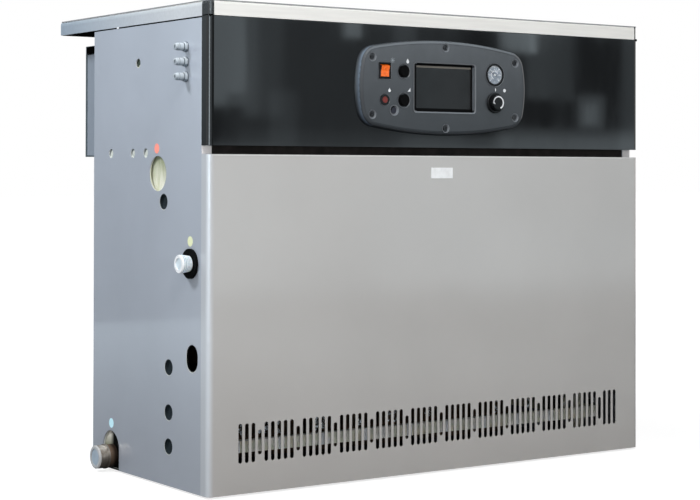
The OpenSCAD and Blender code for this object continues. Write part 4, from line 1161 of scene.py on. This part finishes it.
def door_lip():
    """Painted highlight along the door's upper edge."""
    low, high, centre = box("front_door")
    edge = rounded_box(high.x - low.x - 16, 2.4, 0.5, 2)
    add_plate("door_lip", "door_lip", edge, 0.08, front_plane(centre.x, FRONT, high.z - 1.3))


def foil_and_clips():
    """Crumpled foil on the cables above the burner rail, bright clips on the rail, and a painted highlight
    along the rail's upper edge.
    """
    door, rail_face = middle("front_door").x, box("burner_rail")[0].y
    first = door - SLOTS_TO_MIDDLE * SLOT_PITCH
    bm = bmesh.new()
    for slot, size in FOIL:
        for _ in range(14):
            across = first + (slot + random.uniform(-0.35, 0.35) * size) * SLOT_PITCH + 9
            flake = front_plane(across, FRONT + random.uniform(12, 20), random.uniform(100, 121))
            flake = flake @ Matrix.Rotation(random.uniform(0, 3), 4, "Z")
            flake = flake @ Matrix.Rotation(random.uniform(-0.9, 0.9), 4, "X")
            wide, tall = random.uniform(1.2, 3.2), random.uniform(0.6, 1.6)
            scrap = [(-wide, -tall), (wide, -tall * 0.6), (wide * 0.7, tall), (-wide * 0.8, tall * 0.8)]
            extrude_outline(bm, scrap, 0.1, flake)
    add_piece("foil_scraps", bm, "foil")
    bm = bmesh.new()
    for slot in RAIL_CLIPS:
        place = front_plane(first + slot * SLOT_PITCH, rail_face, (RAIL_LOW + RAIL_TOP) / 2)
        extrude_outline(bm, rounded_box(12, RAIL_TOP - RAIL_LOW, 1, 3), 1, place)
    add_piece("rail_clips", bm, "clip_zinc")
    # Painted highlight along the rail's upper edge.
    place = front_plane(door - 210, rail_face, RAIL_TOP - 0.4)
    add_plate("rail_highlight", "door_lip", rounded_box(440, 1.3, 0.3, 2), 0.8, place)


def add_thread(bm, place, radius, length):
    """Helical ridge that stands out of a pipe and fades over its first and last turn."""
    pitch, depth, steps = 2.3, 0.45, 32
    count = int(length / pitch * steps)
    rows = []
    for i in range(count + 1):
        height = length * i / count
        fade = min(1, i / steps, (count - i) / steps)
        row = []
        for up, out in ((-0.42, -0.2), (0, fade * depth), (0.42, -0.2)):
            row += add_ring(bm, [polar(radius + out, 360 * i / steps)], height + up * pitch, place)
        rows.append(row)
    for a, b in zip(rows, rows[1:]):
        for k in range(2):
            bm.faces.new((a[k], b[k], b[k + 1], a[k + 1]))


def pipe_threads():
    """Threads of the return pipe, between its cap and its collar, and of the flow pipe."""
    radius = extent("flow_pipe").z / 2
    _, end, flow = box("flow_pipe")
    water, mouth = middle("return_cap"), box("return_pipe")[0].x
    bm = bmesh.new()
    add_thread(bm, side_face(-1, mouth + 15, water.y, water.z), radius, 14)
    add_thread(bm, side_face(1, end.x - 28, flow.y, flow.z), radius, 26)
    add_piece("pipe_threads", bm, "pipe_steel", sharp=60)


# ---------------------------------------------------------------- studio

def add_camera():
    data = bpy.data.cameras.new("camera")
    data.sensor_width = 36
    data.lens = CAMERA_LENS
    data.shift_y = CAMERA_SHIFT
    camera = add_object("camera", data)
    turn = Matrix.Rotation(math.radians(-CAMERA_YAW), 4, "Z")
    tip = Matrix.Rotation(math.radians(90 + CAMERA_PITCH), 4, "X")
    roll = Matrix.Rotation(math.radians(CAMERA_ROLL), 4, "Z")
    camera.matrix_world = Matrix.Translation(CAMERA_PLACE) @ turn @ tip @ roll
    bpy.context.scene.camera = camera


# Softboxes: name, place, what they aim at, width and height, power and colour
SOFTBOXES = (
    ("key", (-1.1, -2.7, 2.9), (0, -0.2, 0.5), (1.3, 1.3), 80, (1.0, 0.985, 0.965)),
    ("side", (-2.5, 0.8, 2.7), (-0.5, 0, 0.5), (0.6, 0.6), 76, (0.93, 0.965, 1.0)),
    ("strip", (-2.9, -1.7, 0.9), (-0.5, -0.2, 0.5), (0.3, 1.9), 10, (0.93, 0.965, 1.0)),
    ("fill", (-1.2, -4.4, 0.9), (0, 0, 0.35), (1.2, 1.2), 34, (1.0, 0.985, 0.965)),
)


def add_lights():
    for name, place, target, size, power, colour in SOFTBOXES:
        data = bpy.data.lights.new(name, "AREA")
        data.shape = "RECTANGLE"
        data.size, data.size_y = size
        data.energy = power
        data.color = colour
        light = add_object(name, data)
        light.location = place
        light.rotation_euler = (Vector(target) - Vector(place)).to_track_quat("-Z", "Y").to_euler()


def seen_directly(holder):
    """1 for rays from the camera, a mirror or a glass, and 0 for the light that falls on things."""
    path = add_node(holder, "ShaderNodeLightPath").outputs
    total = combine(holder, "MAXIMUM", path["Is Camera Ray"], path["Is Glossy Ray"])
    return combine(holder, "MAXIMUM", total, path["Is Transmission Ray"])


def add_world():
    """White to look at, and a softer white as light."""
    world = bpy.data.worlds.new("studio")
    bpy.context.scene.world = world
    world.use_nodes = True
    world.node_tree.nodes.clear()
    lit = add_node(world, "ShaderNodeBackground", Color=(0.96, 0.98, 1.0, 1), Strength=0.22)
    seen = add_node(world, "ShaderNodeBackground", Color=(1, 1, 1, 1), Strength=1.0)
    mix, out = add_node(world, "ShaderNodeMixShader"), add_node(world, "ShaderNodeOutputWorld")
    join(world, seen_directly(world), mix.inputs["Fac"])
    join(world, lit.outputs["Background"], mix.inputs[1])
    join(world, seen.outputs["Background"], mix.inputs[2])
    join(world, mix.outputs["Shader"], out.inputs["Surface"])


def bare_material(name):
    """New material without any nodes."""
    mat = bpy.data.materials.new(name)
    mat.use_nodes = True
    mat.node_tree.nodes.clear()
    return mat


# The floor glows a little more with distance: from near to far, and how strongly there
FLOOR_COLOUR = (0.42, 0.42, 0.42, 1)
FLOOR_NEAR, FLOOR_FAR = 0.7, 1.6
NEAR_GLOW, FAR_GLOW = 0.77, 0.95


def floor_material():
    """Grey that receives the shadow, with a glow on top that makes it look white."""
    mat = bare_material("floor")
    surface = add_node(mat, "ShaderNodeBsdfDiffuse", Color=FLOOR_COLOUR)
    glow, total = add_node(mat, "ShaderNodeEmission"), add_node(mat, "ShaderNodeAddShader")
    place, far = add_node(mat, "ShaderNodeTexCoord"), add_node(mat, "ShaderNodeVectorMath")
    far.operation = "LENGTH"
    join(mat, place.outputs["Object"], far.inputs[0])
    rise = spread(mat, far.outputs["Value"], NEAR_GLOW, FAR_GLOW, FLOOR_NEAR, FLOOR_FAR)
    join(mat, times(mat, seen_directly(mat), rise), glow.inputs["Strength"])
    join(mat, surface.outputs[0], total.inputs[0])
    join(mat, glow.outputs[0], total.inputs[1])
    join(mat, total.outputs[0], add_node(mat, "ShaderNodeOutputMaterial").inputs["Surface"])
    return mat


def add_floor():
    """Wide pale floor that keeps the object's shadow."""
    bm = bmesh.new()
    bmesh.ops.create_grid(bm, x_segments=8, y_segments=8, size=30)
    mesh = bpy.data.meshes.new("floor")
    bm.to_mesh(mesh)
    bm.free()
    mesh.materials.append(floor_material())
    add_object("floor", mesh)


# Soft patches of the room that the paint mirrors. Each has the left, right, lower and upper
# edge of its mirror image on the front of the boiler, in metres, then softness and brightness.
ROOM_PATCHES = (
    (-0.70, -0.428, 0.672, 0.90, 0.014, 1.75),
    (-0.428, -0.404, 0.655, 0.90, 0.02, 0.75),
    (-0.404, -0.352, 0.655, 0.90, 0.025, 0.32),
    (-0.380, -0.325, 0.60, 0.700, 0.02, 0.30),
    (-0.466, -0.430, 0.672, 0.694, 0.012, -0.90),
    (-0.46, 0.05, 0.60, 0.90, 0.05, 0.25),
    (-0.222, -0.180, 0.800, 0.90, 0.014, 1.90),
    (-0.115, -0.060, 0.790, 0.90, 0.02, 0.50),
    (0.140, 0.232, 0.790, 0.90, 0.014, 2.20),
    (0.205, 0.262, 0.700, 0.90, 0.02, 0.60),
    (0.262, 0.330, 0.700, 0.90, 0.015, 0.50),
    (0.338, 0.405, 0.645, 0.712, 0.015, 0.80),
    (0.354, 0.386, 0.655, 0.695, 0.012, 0.80),
    (0.452, 0.90, 0.60, 0.90, 0.02, 0.55),
    (0.130, 0.90, 0.60, 0.642, 0.015, 0.70),
    (-0.100, 0.90, 0.60, 0.627, 0.015, 0.65),
    (-0.440, -0.100, 0.60, 0.630, 0.02, 0.20),
    (-0.90, 0.90, 0.340, 0.60, 0.035, 1.05),
    (-0.90, -0.360, 0.345, 0.60, 0.04, 0.50),
    (-0.165, 0.120, 0.345, 0.60, 0.03, 0.52),
    (0.120, 0.330, 0.300, 0.60, 0.05, 0.20),
    (0.060, 0.90, 0.270, 0.46, 0.05, 0.42),
    (-0.90, 0.90, 0.835, 1.00, 0.01, 1.30),
)
WALL_GLOW, WINDOW_GLOW, CEILING_GLOW = 0.17, 0.9, 2.2
ROOM_COLOUR = (0.80, 0.93, 1.0, 1)
ROOM_FRONT, ROOM_LEFT, ROOM_BACK, ROOM_TOP, ROOM_WIDTH = -3.5, -4.0, 3.0, 2.6, 9.0


def soft_step(x):
    x = min(max(x, 0), 1)
    return x * x * (3 - 2 * x)


def soft_box(value, low, high, softness):
    """1 between low and high, falling to 0 over the softness on both sides."""
    return soft_step((value - low) / softness + 0.5) * soft_step((high - value) / softness + 0.5)


def front_wall_light(place):
    """Brightness of the wall in front, from where its mirror image shows on the boiler."""
    eye, mirror = Vector(CAMERA_PLACE), FRONT * MM
    stretch = (mirror - ROOM_FRONT) / (mirror - eye.y)
    across = (place.x + stretch * eye.x) / (1 + stretch)
    up = (place.z + stretch * eye.z) / (1 + stretch)
    total = WALL_GLOW + WINDOW_GLOW * soft_step((-1.0 - place.x) / 0.8) * soft_step(place.z / 0.6)
    for left, right, bottom, top, softness, bright in ROOM_PATCHES:
        total += bright * soft_box(across, left, right, softness) * soft_box(up, bottom, top, softness)
    return total


def left_wall_light(place):
    """Window in the left wall, which draws the bright line down the front corner."""
    return 0.9 + 5.0 * soft_box(place.y, -2.7, -1.1, 0.5) * soft_step((place.z - 0.1) / 0.6)


def back_wall_light(place):
    """The wall behind on the left is dim below and to the right, and lighter above."""
    return 0.2 + (0.15 + 0.3 * soft_step((-1.7 - place.x) / 0.7)) * soft_step((place.z - 0.3) / 0.9)


def room_floor_light(place):
    """The floor is dark beside the boiler and on the right, and lighter away from it."""
    away, right = soft_step((place.xy.length - 0.4) / 3.0), soft_step((place.x - 1.0) / 0.9)
    return 0.12 + 0.75 * away * (1 - 0.85 * right)


def ceiling_light(place):
    """Bright ceiling, which gleams on all that curves upwards."""
    return CEILING_GLOW


def card_material():
    """Light whose strength comes from the card's own glow values."""
    mat = bare_material("reflection_card")
    value = add_node(mat, "ShaderNodeAttribute")
    value.attribute_name = "glow"
    light = add_node(mat, "ShaderNodeEmission", Color=ROOM_COLOUR)
    join(mat, value.outputs["Fac"], light.inputs["Strength"])
    join(mat, light.outputs[0], add_node(mat, "ShaderNodeOutputMaterial").inputs["Surface"])
    return mat


def reflection_card(name, mat, light, corner, across, up, cols=160, rows=60):
    """Glowing card that only shows in reflections, spanned by two vectors from a corner."""
    corner, across, up = Vector(corner), Vector(across), Vector(up)
    points = [corner + across * (c / cols) + up * (r / rows)
              for r in range(rows + 1) for c in range(cols + 1)]
    faces = []
    for r in range(rows):
        for c in range(cols):
            i = r * (cols + 1) + c
            faces.append((i, i + 1, i + cols + 2, i + cols + 1))
    mesh = bpy.data.meshes.new(name)
    mesh.from_pydata(points, [], faces)
    layer = mesh.attributes.new("glow", "FLOAT", "POINT")
    layer.data.foreach_set("value", [light(point) for point in points])
    mesh.materials.append(mat)
    card = add_object(name, mesh)
    card.visible_camera = False
    card.visible_diffuse = False
    card.visible_transmission = False
    card.visible_shadow = False


def add_room():
    """Dim room round the object, which shows only in the gloss of its paint."""
    mat = card_material()
    wide, deep, tall = (ROOM_WIDTH, 0, 0), (0, ROOM_BACK - ROOM_FRONT, 0), (0, 0, ROOM_TOP)
    corner = ROOM_LEFT, ROOM_FRONT, 0
    reflection_card("room_front", mat, front_wall_light, corner, wide, tall)
    nearer = 1.2, ROOM_FRONT + 0.002, 0
    reflection_card("room_view", mat, front_wall_light, nearer, (2.7, 0, 0), (0, 0, 1.3), 300, 144)
    reflection_card("room_left", mat, left_wall_light, corner, (0, 4.5, 0), tall)
    reflection_card("room_back", mat, back_wall_light, (ROOM_LEFT, ROOM_BACK, 0), (3.1, 0, 0), tall)
    reflection_card("room_top", mat, ceiling_light, (ROOM_LEFT, ROOM_FRONT, ROOM_TOP), (7.0, 0, 0), deep)
    reflection_card("room_floor", mat, room_floor_light, (ROOM_LEFT, ROOM_FRONT, 0.001), wide, deep)


PIECES = (bezel_edge, recess_lips, recess_seals_and_shade, hole_rims, hole_plugs, hole_backs, notch_details,
          seam_flanges, plug_and_glands, hood_details, door_lip, lid_trim, foil_and_clips, bezel_marks,
          knob_arc, knob_flutes, gauge_face, display_details, rocker_marks, side_dots, pipe_threads)


def main():
    random.seed(7)
    dress_nodes()
    for make_piece in PIECES:
        make_piece()
    add_camera()
    add_lights()
    add_world()
    add_floor()
    add_room()
    bpy.context.scene.view_settings.view_transform = "Standard"


main()
